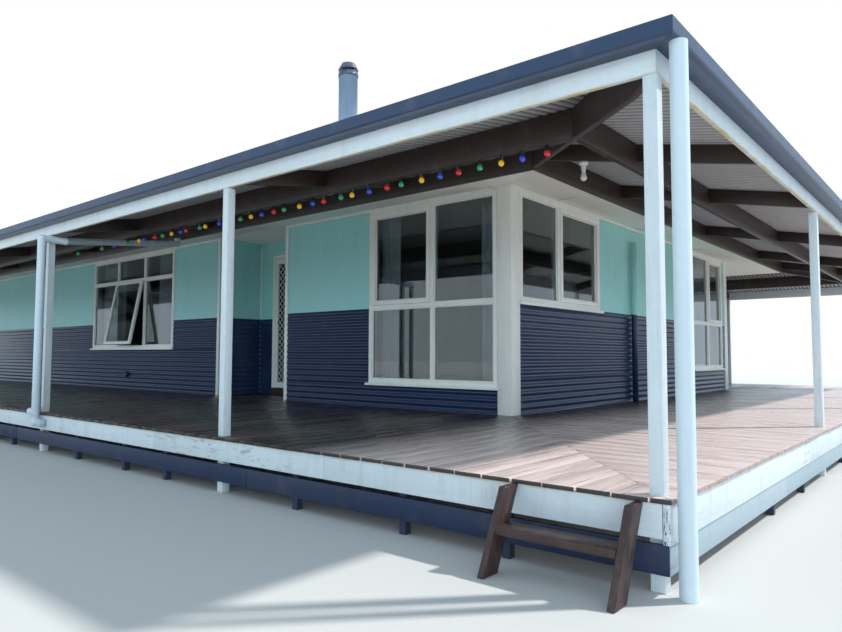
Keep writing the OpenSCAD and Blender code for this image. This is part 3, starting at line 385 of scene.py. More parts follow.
def iron(name, colour, rough, axis="X", metallic=0.2, wave=None):
    """Zinc-coated iron: faint side laps, dull spots and runs, and a dark tone along the crests of any waves,
    partly grime and partly painted shade in the grooves seen from under the sheet.
    """
    f = Finish(name, rough, {"Metallic": metallic})
    out = f.group("paint", Colour=colour, Drift=0.07, Grime="#4c4036", Grime_Amount=0.35, Chalk=0.15)
    laps = f.group("joints", f.along(axis), Pitch=0.762, Width=0.006)["Mask"]
    top = out["Colour"]
    if wave:
        # Dark along the crests: painted shade in the grooves seen from below, with some grime.
        crest_shade_and_grime = f.group("joints", f.along(axis), Pitch=wave, Width=wave / 2)["Mask"]
        top = f.mixed(f.ranged(crest_shade_and_grime, 0.75, 0.1, 0.0, 0.85), top, "#2a2628")
    return f.done(f.mixed(f.times(laps, 0.5), top, "#3c3c3c"), (out["Mask"], rough, rough + 0.3),
                  (out["Height"], 0.12, 0.0005))


def two_tone(name, level, blur, below, above, rough, drift, grime, amount, chalk=0.05):
    """Pipe paint that changes its colour at a height."""
    f = Finish(name, rough)
    high = f.ranged(f.split(f.place)["Z"], level - blur, level + blur)
    coat = f.mixed(high, below, above)
    out = f.group("paint", Colour=coat, Drift=drift, Grime=grime, Grime_Amount=amount, Chalk=chalk)
    return f.done(out["Colour"], (out["Mask"], rough, rough + 0.3), (out["Height"], 0.15, 0.001))


def clear_glass(name):
    """Window glass with a faint film of dust and salt."""
    f = Finish(name, 0.02, {"Transmission Weight": 1.0, "IOR": 1.75})
    film = f.ranged(f.streaks(f.place, (3.0, 3.0, 0.9), 5.0, 0.6), 0.45, 0.8)
    return f.done(f.mixed(f.times(film, 0.5), "#c9d8de", "#b9c2c2"), (film, 0.012, 0.05))


def fly_wire(name):
    """Dark woven wire of a screen door."""
    f = Finish(name, 0.75)
    weave = f.noise(f.place, 420.0, 2.0)
    return f.done(f.mixed(weave, "#0d0d0e", "#2c2e2f"), bump=(weave, 0.4, 0.0005))


def cloth(name, colour, cover):
    """Curtain or blind cloth with a fine weave and faint slubs. cover is the share of light it stops."""
    f = Finish(name, 0.85, {"Sheen Weight": 0.3, "Alpha": cover})
    flat = f.add("UVMap").outputs[0]
    weave = f.streaks(flat, (900.0, 900.0, 1.0), 2.0)
    slubs = f.streaks(flat, (60.0, 3.0, 1.0), 3.0)
    shade = f.mixed(f.ranged(slubs, 0.4, 0.7, 0.0, 0.2), colour, "#9fa6aa")
    return f.done(f.mixed(f.times(weave, 0.12), shade, "#8d9296"), bump=(weave, 0.4, 0.0006))


def coloured_globe(name, code):
    """Dipped paint on a glass party globe, thinner and lighter in spots, with a faint painted glow in its
    own colour.
    """
    colour = linear(code)
    # The emission in the globe's own colour is a painted glow; the globes are not lit.
    f = Finish(name, 0.16, {"Coat Weight": 0.6, "Emission Color": colour, "Emission Strength": 0.25})
    mottled = f.ranged(f.noise(f.place, 90.0, 3.0), 0.35, 0.7, 0.0, 0.35)
    lighter = [min(1.0, c * 1.8 + 0.02) for c in colour]
    return f.done(f.mixed(mottled, colour, lighter), (mottled, 0.12, 0.4))


# Mesh helpers

def box_in(bm, low, high, tone=None):
    """Adds a box between two corners, with a tone for its faces."""
    low, high = Vector(low), Vector(high)
    place = Matrix.Translation((low + high) / 2) @ Matrix.Diagonal((*(high - low), 1.0))
    verts = bmesh.ops.create_cube(bm, size=1.0, matrix=place)["verts"]
    if tone is not None:
        layer = bm.faces.layers.float["tone"]
        for face in {f for v in verts for f in v.link_faces}:
            face[layer] = tone


def soften(bm, width, segments=2, least=25.0):
    """Rounds every edge sharper than the least angle."""
    sharp = [e for e in bm.edges if len(e.link_faces) == 2 and e.calc_face_angle(0.0) > math.radians(least)]
    bmesh.ops.bevel(bm, geom=sharp, offset=width, offset_type="OFFSET", segments=segments, profile=0.5,
                    affect="EDGES", clamp_overlap=True, material=-1)
    return bm


def cut_at(bm, point, normal, clear=False):
    """Cuts along a plane, and with clear also takes away what lies beyond it."""
    geom = bm.verts[:] + bm.edges[:] + bm.faces[:]
    return bmesh.ops.bisect_plane(bm, geom=geom, dist=1e-6, plane_co=point, plane_no=normal,
                                  clear_outer=clear)["geom_cut"]


def slice_off(bm, point, normal):
    """Cuts off all that lies beyond a plane and closes the cut."""
    cut = cut_at(bm, point, normal, clear=True)
    edges = [g for g in cut if isinstance(g, bmesh.types.BMEdge) and g.is_boundary]
    if edges:
        bmesh.ops.holes_fill(bm, edges=edges, sides=0)


def cad_copy(node, dissolve=True):
    """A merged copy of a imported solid, to be softened."""
    bm = bmesh.new()
    bm.from_mesh(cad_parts[node].data)
    bmesh.ops.remove_doubles(bm, verts=bm.verts, dist=2e-5)
    if dissolve:
        bmesh.ops.dissolve_limit(bm, angle_limit=math.radians(0.5), verts=bm.verts, edges=bm.edges)
    return bm


def baked(bm, name):
    """Turns a bmesh into a mesh."""
    mesh = bpy.data.meshes.new(name)
    bm.to_mesh(mesh)
    bm.free()
    return mesh


def placed(name, data):
    """A new object in the scene."""
    made = bpy.data.objects.new(name, data)
    bpy.context.scene.collection.objects.link(made)
    return made


def piece(name, bm, material, body="house", replaces=(), smooth=35.0):
    """Turns a finished bmesh into an object that rides on its body."""
    mesh = baked(bm, name)
    mesh.shade_smooth()
    mesh.set_sharp_from_angle(angle=math.radians(smooth))
    for m in material if isinstance(material, tuple) else (material,):
        mesh.materials.append(m)
    made = placed(name, mesh)
    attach(made, body)
    if replaces:
        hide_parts(*replaces)
    return made


def softened(name, node, material, width, segments=2):
    """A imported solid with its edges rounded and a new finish."""
    piece(name, soften(cad_copy(node), width, segments), material, replaces=(node,))


def recoated(name, node, material, smooth=40.0):
    """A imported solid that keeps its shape, with smooth rounds and a new finish."""
    piece(name, cad_copy(node, dissolve=False), material, replaces=(node,), smooth=smooth)


def repaint(material, *nodes):
    """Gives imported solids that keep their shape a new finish."""
    for node in nodes:
        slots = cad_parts[node].data.materials
        slots.clear()
        slots.append(material)


def tube_along(bm, points, radius, sides=10, ring=False):
    """Adds a round tube along a row of points, through a bevelled curve made into a mesh."""
    curve = bpy.data.curves.new("route", "CURVE")
    curve.dimensions = "3D"
    curve.bevel_depth = radius
    curve.bevel_resolution = max(0, sides // 2 - 2)
    curve.use_fill_caps = not ring
    line = curve.splines.new("POLY")
    line.use_cyclic_u = ring
    line.points.add(len(points) - 1)
    for spot, p in zip(line.points, points):
        spot.co = (*p, 1.0)
    carrier = bpy.data.objects.new("route", curve)
    mesh = bpy.data.meshes.new_from_object(carrier)
    bm.from_mesh(mesh)
    bpy.data.objects.remove(carrier)
    bpy.data.curves.remove(curve)
    bpy.data.meshes.remove(mesh)


# The four sides: front, right, rear and left. Each is drawn at the front, with Y as the distance in from
# the deck edge, and then moved to its place.

def side_place(side):
    half = [(0, -DECK_Y), (DECK_X, 0), (0, DECK_Y), (-DECK_X, 0)][side]
    return Matrix.Translation((*half, 0)) @ Matrix.Rotation(math.radians([0, 90, 180, -90][side]), 4, "Z")


def half_length(side):
    return DECK_X if side % 2 == 0 else DECK_Y


def slant(side):
    """How far the diagonal of the plan runs along the side for each metre in from the deck edge."""
    return HIP_RATIO if side % 2 == 0 else 1 / HIP_RATIO


def on_sides(sides, draw, *args, layers=()):
    """One bmesh with what draw makes for each side, moved to its place."""
    bm = bmesh.new()
    for layer in layers:
        bm.faces.layers.float.new(layer)
    for side in sides:
        run = draw(side, *args)
        run.transform(side_place(side))
        mesh = baked(run, "part")
        bm.from_mesh(mesh)
        bpy.data.meshes.remove(mesh)
    return bm


# Deck

# Where a joint between two boards falls, along the front and along the right-hand side
BOARD_START = {0: 0.0731, 1: 0.084}
DECK_LAYERS = ("tone", "cut_end")
# Least width of a board, most drop of its top, gap to the walls, gap to the hips
LEAST_BOARD, BOARD_DROP, WALL_GAP, HIP_GAP = 0.02, 0.0012, 0.001, 0.003
# Gap round the short boards of the porch, at their ends and beside the walls
PORCH_JOINT, PORCH_GAP = 0.0005, 0.0015


def deck_side(side, sizes, rng):
    """Boards of one side of the deck, square to its edge and mitred at the corners."""
    bm = bmesh.new()
    for layer in DECK_LAYERS:
        bm.faces.layers.float.new(layer)
    half, deep = half_length(side), DEPTH[side % 2] - WALL_GAP
    start = BOARD_START[side % 2]
    first = math.floor((-half - start) / sizes.board_pitch)
    last = math.ceil((half - start) / sizes.board_pitch)
    for i in range(first, last):
        u0 = max(start + i * sizes.board_pitch + sizes.board_gap / 2, -half)
        u1 = min(start + (i + 1) * sizes.board_pitch - sizes.board_gap / 2, half)
        if u1 - u0 < LEAST_BOARD:
            continue
        out = rng.uniform(-1.0, 0.0) * sizes.uneven
        top = DECK_TOP - rng.uniform(0.0, BOARD_DROP)
        tone = rng.random()
        box_in(bm, (u0, -out, DECK_TOP - BOARD_T), (u1, deep, top), tone)
        if side == 0 and PORCH[0] < (u0 + u1) / 2 < PORCH[1]:
            box_in(bm, (max(u0, PORCH[0] + PORCH_GAP), deep + PORCH_JOINT, DECK_TOP - BOARD_T),
                   (min(u1, PORCH[1] - PORCH_GAP), DECK_Y + PORCH[2] - WALL_GAP, top), tone)
    ends = bm.faces.layers.float["cut_end"]
    for face in bm.faces:
        if face.normal.y < -0.9 and face.calc_center_median().y < 0.1:
            face[ends] = 1.0
    for hand in (-1, 1):
        slice_off(bm, (hand * (half - HIP_GAP), 0, 0), (hand, slant(side), 0))
    return soften(bm, sizes.board_round)


def build_deck(context):
    sizes, paints = context.scene.house_deck, context.scene.house_paints
    rng = random.Random(4)
    # Board ends: the front and rear ones near black as painted shade, the side ones paler as painted
    # sunlight.
    for name, sides, axis, end, shown in (("deck_boards_front_rear", (0, 2), "Y", "#17100f", 0.95),
                                          ("deck_boards_sides", (1, 3), "X", "#7d5f58", 0.7)):
        bm = on_sides(sides, deck_side, sizes, rng, layers=DECK_LAYERS)
        stain = deck_stain(name + "_stain", paints.deck, axis, end, shown)
        piece(name, bm, stain, replaces=("deck",))


# Rim, skirt and steps

# Rim and skirt boards: half length, outer and inner face in from the deck edge, bottom and top
RIMS = {0: (10.540, 0.020, 0.055, 0.255, 0.415), 1: (7.079, 0.020, 0.055, 0.230, 0.415)}
SKIRT = (0.030, 0.055, 0.090, 0.227)
# Butt joints of the boards along the front and rear, and along the two sides
RIM_JOINTS = {0: (-8.1, -3.5, 1.2, 6.045, 8.263), 1: (-3.9, 1.1, 5.2)}
SKIRT_JOINTS = {0: (-6.3, -1.7, 2.9, 7.4), 1: (-4.727, -0.1, 4.5)}
JOINT_GAP, MITRE_GAP = 0.002, 0.0005


def gapped(bm, joints):
    """Opens a thin joint at each place along X."""
    for x in joints:
        for hand in (-1, 1):
            cut_at(bm, (x + hand * JOINT_GAP / 2, 0, 0), (1, 0, 0))
        inside = [f for f in bm.faces if abs(f.calc_center_median().x - x) < JOINT_GAP / 2 - 1e-5]
        bmesh.ops.delete(bm, geom=inside, context="FACES")
        bmesh.ops.holes_fill(bm, edges=[e for e in bm.edges if e.is_boundary], sides=0)
    return bm


def skirt_run(side, edge):
    """One side's skirt board, mitred at the corners."""
    outer, inner, low, high = SKIRT
    half = half_length(side)
    run = bmesh.new()
    box_in(run, (-half, outer, low), (half, inner, high))
    for hand in (-1, 1):
        slice_off(run, (hand * (half - MITRE_GAP), 0, 0), (hand, 1, 0))
    return soften(gapped(run, SKIRT_JOINTS[side % 2]), edge)


def rim_run(side, edge):
    """One side's rim board. The boards of the right and left side show their ends at the corners."""
    half, outer, inner, low, high = RIMS[side % 2]
    run = bmesh.new()
    box_in(run, (-half, outer, low), (half, inner, high))
    gapped(run, RIM_JOINTS[side % 2])
    for face in run.faces:
        if side % 2 and abs(face.calc_center_median().x) > half - 0.001:
            face.material_index = 1
    return soften(run, edge)


def build_edges(context):
    paints, edge = context.scene.house_paints, context.scene.house_joinery.edge
    for name, sides, axis in (("rim_boards_front_rear", (0, 2), "X"), ("rim_boards_sides", (1, 3), "Y")):
        white = painted_timber(name + "_paint", paints.white, "#5c5148", 0.5, chips=0.6, amount=0.5,
                               axis=axis, band=RIM_STAIN)
        piece(name, on_sides(sides, rim_run, edge), (white, end_grain(name + "_ends", paints.white)),
              replaces=("rim_boards",))
    for name, sides, axis, slot, colour, under in (
            ("skirt_boards_navy", (0, 2), "X", "navy_paint", "#182c4e", "#10151f"),
            ("skirt_boards_pale", (1, 3), "Y", "white_paint", "#a9bcc8", "#5c5148")):
        coat = painted_timber(name + "_paint", colour, under, 0.5, amount=0.45, axis=axis)
        piece(name, on_sides(sides, skirt_run, edge), coat, replaces=("skirt_boards",))
    brown = painted_timber("step_stain", "#2a1216", "#7d685c", 0.45, chips=0.7, axis="Z", amount=0.4)
    softened("step_boards", "side_steps", brown, STEP_EDGE)
    repaint(painted_timber("stump_paint", "#27374f", "#3c3832", 0.7, chips=0.5, axis="Z"), "stumps")
    repaint(painted_timber("bearer_timber", "#2a2c33", "#4b4640", 0.8, chips=0.4), "deck_bearers")


# Verandah timber

def build_timber(context):
    paints, edge = context.scene.house_paints, context.scene.house_joinery.edge
    post = painted_timber("post_paint", paints.white, "#6b6258", 0.45, chips=0.35, axis="Z", amount=0.35)
    beam = painted_timber("beam_paint", paints.white, "#7b7265", 0.45, chips=0.15, band=BEAM_STAIN)
    brown = painted_timber("roof_timber_stain", paints.brown, "#5d4a3f", 0.45, chips=0.2, amount=0.25)
    for name, node, coat, slot in (("posts_white", "verandah_posts", post, "white_paint"),
                                   ("beams_white", "verandah_beams", beam, "white_paint"),
                                   ("fascia_brown", "eaves_fascia", brown, "brown_timber"),
                                   ("purlins_brown", "verandah_purlins", brown, "brown_timber"),
                                   ("rafters_brown", "verandah_rafters", brown, "brown_timber")):
        softened(name, node, coat, edge)


# Roof

# Rows of screws, as distances in from the deck edge, and how many crests lie between two screws
SCREW_ROWS, SCREW_STEP = (0.10, 1.07, 2.33, 3.6, 4.9, 6.2), 3
# Least distance of a screw from the hip, height of its head and of the head's middle over the crest
SCREW_EDGE, SCREW_HIGH, SCREW_RAISE = 0.12, 0.005, 0.002


def roof_height(d, side):
    return EAVE_Z + d * RISE[side % 2]


def roof_sheet(side, sizes):
    """Corrugated iron over one slope, waves running down the fall, cut along its hips."""
    half, deep = half_length(side), DECK_Y if side % 2 == 0 else DECK_Y * HIP_RATIO
    length = 2 * (half + ROOF_LAP)
    bm = bmesh.new()
    spread = Matrix.Diagonal((length, deep + ROOF_LAP, 1, 1))
    place = Matrix.Translation((0, (deep - ROOF_LAP) / 2, 0)) @ spread
    bmesh.ops.create_grid(bm, x_segments=math.ceil(length / sizes.wave_pitch) * 6, y_segments=3, size=0.5,
                          matrix=place)
    middle = WAVE_MIDDLE - sizes.sheet_t / 2
    for v in bm.verts:
        wave = math.cos(2 * math.pi * v.co.x / sizes.wave_pitch) * sizes.wave_depth / 2
        v.co.z = roof_height(v.co.y, side) + middle + wave
    for hand in (-1, 1):
        cut_at(bm, (hand * (half + 0.001), 0, 0), (hand, slant(side), 0), clear=True)
    bmesh.ops.solidify(bm, geom=bm.faces[:], thickness=sizes.sheet_t)
    bmesh.ops.recalc_face_normals(bm, faces=bm.faces)
    return bm


def roof_screws(side, sizes):
    """Screw heads in rows over the timbers."""
    bm = bmesh.new()
    lean = Matrix.Rotation(math.atan(RISE[side % 2]), 4, "X")
    step = SCREW_STEP * sizes.wave_pitch
    for d in SCREW_ROWS:
        count = int((half_length(side) - SCREW_EDGE - d * slant(side)) / step)
        z = roof_height(d, side) + WAVE_MIDDLE + sizes.wave_depth / 2 + SCREW_RAISE
        for i in range(-count, count + 1):
            bmesh.ops.create_cone(bm, cap_ends=True, segments=8, radius1=sizes.screw_d / 2,
                                  radius2=sizes.screw_d / 4, depth=SCREW_HIGH,
                                  matrix=Matrix.Translation((i * step, d, z)) @ lean)
    return bm


def build_roof(context):
    sizes, paints = context.scene.house_roof, context.scene.house_paints
    for name, node, sides, axis in (("roof_iron_front_rear", "front_and_rear_roof", (0, 2), "X"),
                                    ("roof_iron_sides", "side_roofs", (1, 3), "Y")):
        sheet = iron(name + "_finish", paints.iron, 0.42, axis, wave=sizes.wave_pitch)
        piece(name, on_sides(sides, roof_sheet, sizes), sheet, replaces=(node,), smooth=60)
    zinc = iron("screw_zinc", "#9a9c9a", 0.35, metallic=0.8)
    piece("roof_screws", on_sides(range(4), roof_screws, sizes), zinc)
    caps = iron("cap_iron", paints.iron, 0.4)
    softened("roof_caps", "ridge_and_hip_caps", caps, FINE_EDGE, 1)


# Gutters, pipes and flue

# Bead along the gutter: how far outside the deck edge, its height and radius
BEAD_OUT, BEAD_Z, BEAD_R = 0.052, 2.632, 0.0055
# Foot of the flue's cap
FLUE_CAP = 5.20


def build_rainwater(context):
    paints = context.scene.house_paints
    slate = painted("gutter_paint", paints.slate, 0.32, 0.05, "#2a2a28", 0.35, 0.08, bump=0.12)
    recoated("gutters_slate", "gutters", slate)
    bead = bmesh.new()
    corners = [(x * (DECK_X + BEAD_OUT), y * (DECK_Y + BEAD_OUT), BEAD_Z)
               for x, y in ((1, -1), (1, 1), (-1, 1), (-1, -1))]
    tube_along(bead, corners, BEAD_R, 8, ring=True)
    # The bead is painted near black: painted shade along the top of the gutter.
    dark = painted("gutter_bead_painted_shade", "#0d121c", 0.35)
    piece("gutter_bead", bead, dark, smooth=40)
    pipe = painted("pipe_white", "#cfdde6", 0.35, 0.04, "#6d6a60", 0.35, 0.02)
    recoated("downpipes_white", "downpipes", pipe)
    flue = two_tone("flue_paint", FLUE_CAP, 0.002, "#8ba2bb", "#4d566c", 0.35, 0.08, "#3f4247", 0.5, 0.1)
    recoated("flue_grey_blue", "flue", flue)
    coat = two_tone("wall_pipe_paint", DADO_TOP, 0.004, paints.navy, paints.aqua, 0.4, 0.05, "#333333", 0.3)
    recoated("wall_fittings_painted", "wall_fittings", coat)


# Walls

# Beads over the joints of the raked lining: their two ends for the first, spacing, number and radius
LINING_JOINT = ((7.802, -2.96, 2.9555), (8.632, -3.683, 2.7765))
LINING_STEP, LINING_JOINTS, LINING_BEAD_R = 2.4, 3, 0.0028
# Corner strip of the porch: its near and its far side off the two walls, bottom and top
STRIP = (0.0005, 0.0205, 1.70, 2.90)


def build_walls(context):
    paints, edge = context.scene.house_paints, context.scene.house_joinery.edge
    aqua = painted("aqua_sheet_paint", paints.aqua, 0.42, 0.04, "#56736c", 0.18, bump=0.2)
    repaint(aqua, "front_wall_left", "front_wall_right", "porch_side_walls", "porch_back_walls",
            "porch_over_door", "right_wall", "rear_wall", "left_wall")
    navy = painted("navy_iron_paint", paints.navy, 0.3, 0.05, "#3d4a60", 0.25, 0.03, coat=0.15)
    for name, node in (("dado_front", "front_dado"), ("dado_sides_rear", "side_and_rear_dado")):
        recoated(name, node, navy, smooth=50)
    cream = painted_timber("trim_paint", paints.cream, "#8a8070", 0.42, chips=0.15, axis="Z", amount=0.2)
    softened("trims_cream", "white_trims", cream, edge)
    repaint(painted("lining_paint", "#fbf8ee", 0.5, 0.03, "#8d8474", 0.15, 0.0), "eaves_lining", "ceiling")
    repaint(painted_timber("floor_boards_clear", "#b08a5f", "#6b4c30", 0.35, chips=0.1), "house_floor")
    lines = bmesh.new()
    for k in range(LINING_JOINTS):
        tube_along(lines, [(x, y + LINING_STEP * k, z) for x, y, z in LINING_JOINT], LINING_BEAD_R, 6)
    piece("lining_joint_beads", lines, painted("joint_sealant", "#8f897c", 0.6))
    strip = bmesh.new()
    near, far, low, high = STRIP
    box_in(strip, (PORCH[0] + near, PORCH[2] - far, low), (PORCH[0] + far, PORCH[2] - near, high))
    piece("porch_corner_strip", soften(strip, edge), cream)


# Windows

# Each window: wall, its frame's ends along the wall, bottom and top, middles of mullions and of the
# transom. The wall is told by the axis it runs along and the side of the house that it stands on.
WINDOWS = {
    "triple": ("X", -1, -2.102, 0.928, 1.205, HEAD_Z, (-1.092, -0.082), 2.465),
    "corner": ("X", -1, 5.658, 7.608, 0.740, HEAD_Z, (6.6915,), 1.688),
    "high": ("Y", 1, -3.801, -1.791, 1.680, HEAD_Z, (-2.917,), None),
    "low": ("Y", 1, 1.927, 3.627, 0.857, HEAD_Z, (2.777,), 1.688),
    "rear_right": ("X", 1, 2.3695, 5.3995, 1.205, HEAD_Z, (3.3795, 4.3895), 2.465),
    "rear_left": ("X", 1, -5.3995, -2.3695, 1.205, HEAD_Z, (-4.3895, -3.3795), 2.465),
    "left_high": ("Y", -1, -3.801, -1.791, 1.680, HEAD_Z, (-2.917,), None),
    "left_low": ("Y", -1, 1.927, 3.627, 0.857, HEAD_Z, (2.777,), 1.688)}
FRAME_FACE, FRAME_PROUD, BAR_HALF = 0.052, 0.028, 0.026
# Lights with a shut sash: window, column and row counted from the low end and the bottom
SASHES = (("corner", 0, 1), ("high", 1, 0), ("low", 1, 1), ("left_high", 1, 0), ("left_low", 1, 1),
          ("rear_right", 1, 0), ("rear_left", 1, 0))
OPEN_LIGHT = ("triple", 1, 0)
SASH_GAP, OFF_WALL, BEAD_PROUD = 0.003, 0.0005, 0.012
# Curtains: window, ends along the wall and bottom
CURTAINS = (
    ("triple", -2.42, -2.18, 1.08), ("triple", -2.08, -1.46, 1.08), ("triple", -1.36, -1.14, 1.08),
    ("triple", 0.06, 0.56, 1.08), ("corner", 5.70, 6.02, 0.57), ("corner", 7.27, 7.44, 0.57),
    ("low", 2.46, 3.28, 0.72), ("low", 3.42, 3.82, 0.72))
# Dark blinds behind the rear and left windows: dark sheets as painted shade, keeping the rooms dark through
# the glass.
SHADE_BLINDS = ("rear_right", "rear_left", "left_high", "left_low")
# Curtain tracks: how far inside the wall's face, half width, bottom and top, length past a frame, last end
CURTAIN_IN, TRACK_HALF, TRACK_LOW, TRACK_TOP = 0.185, 0.012, 2.936, 2.9598
TRACK_PAST, TRACK_END = 0.36, {"X": 7.54, "Y": 3.84}
# Cloth: its top, its thickness and how far a blind hangs below its window
CLOTH_TOP, CLOTH_T, BLIND_PAST = TRACK_LOW + 0.004, 0.0008, 0.08
# Grid of the cloth: steps along one fold, rows of a curtain, steps and rows of a blind
FOLD_STEPS, CURTAIN_ROWS, BLIND_STEPS = 10, 12, 16


def wall_face(axis):
    return HOUSE_Y if axis == "X" else HOUSE_X


def lights_of(window):
    """Ends and heights of each light, by column and row."""
    a0, a1, z0, z1, mullions, transom = WINDOWS[window][2:]
    across = [a0 + FRAME_FACE, *(m + h * BAR_HALF for m in mullions for h in (-1, 1)), a1 - FRAME_FACE]
    up = [z0 + FRAME_FACE, *((transom - BAR_HALF, transom + BAR_HALF) if transom else ()), z1 - FRAME_FACE]
    return {(i, j): (across[2 * i], across[2 * i + 1], up[2 * j], up[2 * j + 1])
            for i in range(len(across) // 2) for j in range(len(up) // 2)}


def wall_box(bm, window, a0, a1, z0, z1, out0, out1):
    """A box at a window, from out0 to out1 outside the wall's face."""
    axis, hand = WINDOWS[window][:2]
    b0, b1 = sorted(hand * (wall_face(axis) + out) for out in (out0, out1))
    if axis == "X":
        box_in(bm, (a0, b0, z0), (a1, b1, z1))
    else:
        box_in(bm, (b0, a0, z0), (b1, a1, z1))


def ring_boxes(bm, window, light, width, out0, out1):
    """Two rails and two stiles inside a light."""
    a0, a1, z0, z1 = light
    for za, zb in ((z0, z0 + width), (z1 - width, z1)):
        wall_box(bm, window, a0, a1, za, zb, out0, out1)
    for xa, xb in ((a0, a0 + width), (a1 - width, a1)):
        wall_box(bm, window, xa, xb, z0 + width, z1 - width, out0, out1)


def inset(light, by):
    a0, a1, z0, z1 = light
    return a0 + by, a1 - by, z0 + by, z1 - by


def upright_grid(a0, a1, low, steps, rows):
    """Flat cloth from its foot to the track, along X."""
    bm = bmesh.new()
    middle = Matrix.Translation(((a0 + a1) / 2, 0, (low + CLOTH_TOP) / 2))
    flat = middle @ Matrix.Rotation(math.pi / 2, 4, "X") @ Matrix.Diagonal((a1 - a0, CLOTH_TOP - low, 1, 1))
    bmesh.ops.create_grid(bm, x_segments=steps, y_segments=rows, size=0.5, matrix=flat, calc_uvs=True)
    return bm


def hung(name, bm, window, material):
    """Moves cloth to its place behind a window and gives it its thickness."""
    axis, hand = WINDOWS[window][:2]
    off = hand * (wall_face(axis) - CURTAIN_IN)
    bm.transform(Matrix.Translation((0, off, 0)) if axis == "X" else
                 Matrix.Translation((off, 0, 0)) @ Matrix.Rotation(math.pi / 2, 4, "Z"))
    made = piece(name, bm, material, smooth=80)
    shell = made.modifiers.new("thickness", "SOLIDIFY")
    shell.thickness, shell.offset = CLOTH_T, 0.0
    return made


def row_width(bm, height):
    """Length along the row of vertices closest to a height."""
    level = min((v.co.z for v in bm.verts), key=lambda z: abs(z - height))
    row = sorted((v for v in bm.verts if abs(v.co.z - level) < 1e-4), key=lambda v: v.co.x)
    return sum((b.co - a.co).length for a, b in zip(row, row[1:]))


def curtain(a0, a1, low, joinery, rng):
    """A gathered curtain, flat cloth pushed together into folds, with its flat size."""
    folds = max(2, round((a1 - a0) / joinery.curtain_pitch))
    bm = upright_grid(a0, a1, low, folds * FOLD_STEPS, CURTAIN_ROWS)
    lean = [rng.uniform(-1.0, 1.0) for _ in range(3)]
    for v in bm.verts:
        t, up = (v.co.x - a0) / (a1 - a0), (v.co.z - low) / (CLOTH_TOP - low)
        wave = math.sin(2 * math.pi * folds * t + 0.5 * math.sin(5 * t + lean[0]) + 0.3 * (1 - up) * lean[1])
        v.co.y = joinery.curtain_wave * wave * (1.0 - 0.35 * up)
        v.co.x += 0.006 * math.sin(4 * math.pi * folds * t + lean[2]) * (1 - up)
    return bm, row_width(bm, (low + CLOTH_TOP) / 2), CLOTH_TOP - low


def build_windows(context):
    paints, joinery = context.scene.house_paints, context.scene.house_joinery
    cream = painted_timber("window_paint", paints.cream, "#8a8070", 0.38, chips=0.1, axis="Z", amount=0.15,
                           grain=0.2)
    for name, node in (("window_triple", "triple_window"), ("window_sash_open", "open_sash"),
                       ("window_corner", "corner_window"), ("window_high", "right_high_window"),
                       ("window_low", "right_low_window"), ("windows_rear_left", "rear_and_left_windows")):
        softened(name, node, cream, joinery.edge)
    repaint(clear_glass("window_glass_clear"), "window_glass")
    sashes, beads, tracks = bmesh.new(), bmesh.new(), bmesh.new()
    for window, (axis, _, a0, a1, *_) in WINDOWS.items():
        for place, light in lights_of(window).items():
            if (window, *place) == OPEN_LIGHT:
                continue
            if (window, *place) in SASHES:
                ring_boxes(sashes, window, inset(light, SASH_GAP), joinery.sash_face, OFF_WALL,
                           FRAME_PROUD + joinery.sash_proud)
                light = inset(light, joinery.sash_face + SASH_GAP)
            ring_boxes(beads, window, light, joinery.bead, OFF_WALL, BEAD_PROUD)
        end = min(a1 + 0.03, TRACK_END["X"]) if axis == "X" else TRACK_END["Y"]
        wall_box(tracks, window, a0 - TRACK_PAST, end, TRACK_LOW, TRACK_TOP,
                 -CURTAIN_IN - TRACK_HALF, -CURTAIN_IN + TRACK_HALF)
    piece("window_sashes_shut", soften(sashes, joinery.edge), cream)
    piece("glazing_beads", soften(beads, FINE_EDGE, 1), cream)
    white = painted("track_white", "#dcdcd6", 0.4, bump=0.05)
    piece("curtain_tracks", soften(tracks, FINE_EDGE, 1), white)
    rng = random.Random(11)
    sheer = cloth("curtain_sheer", "#f0f3f5", 0.88)
    for i, (window, a0, a1, low) in enumerate(CURTAINS):
        bm, width, length = curtain(a0, a1, low, joinery, rng)
        made = hung("curtain_%d" % (i + 1), bm, window, sheer)
    # Dark cloth as painted shade inside the rear and left windows.
    dark = cloth("shade_blind_cloth", "#241d1b", 1.0)
    for window in SHADE_BLINDS:
        a0, a1, z0 = WINDOWS[window][2:5]
        low, high = z0 - BLIND_PAST, CLOTH_TOP
        made = hung("blind_" + window, upright_grid(a0, a1, low, BLIND_STEPS, BLIND_STEPS), window, dark)


# Door

# Opening that the lattice covers: left, right, bottom and top; its front face, bar thickness and the step
# between the two layers of bars; the leaf's middle rail behind it, its middle and half height
LATTICE = (2.804, 3.461, 0.646, 2.584)
LATTICE_Y, LATTICE_T, LATTICE_STEP = -3.1975, 0.002, 0.0022
RAIL_Z, RAIL_HALF = 1.615, 0.045


def lattice_ends(base, rise):
    """Where a line that passes height base at the left enters and leaves the opening. rise is 1 or -1."""
    x0, x1, z0, z1 = LATTICE
    spots = [(x0, base), (x1, base + rise * (x1 - x0))] + [(x0 + (z - base) / rise, z) for z in (z0, z1)]
    inside = sorted({(round(x, 5), round(z, 5)) for x, z in spots
                     if x0 - 1e-6 <= x <= x1 + 1e-6 and z0 - 1e-6 <= z <= z1 + 1e-6})
    return (inside[0], inside[-1]) if len(inside) > 1 and inside[-1][0] - inside[0][0] > 0.01 else None


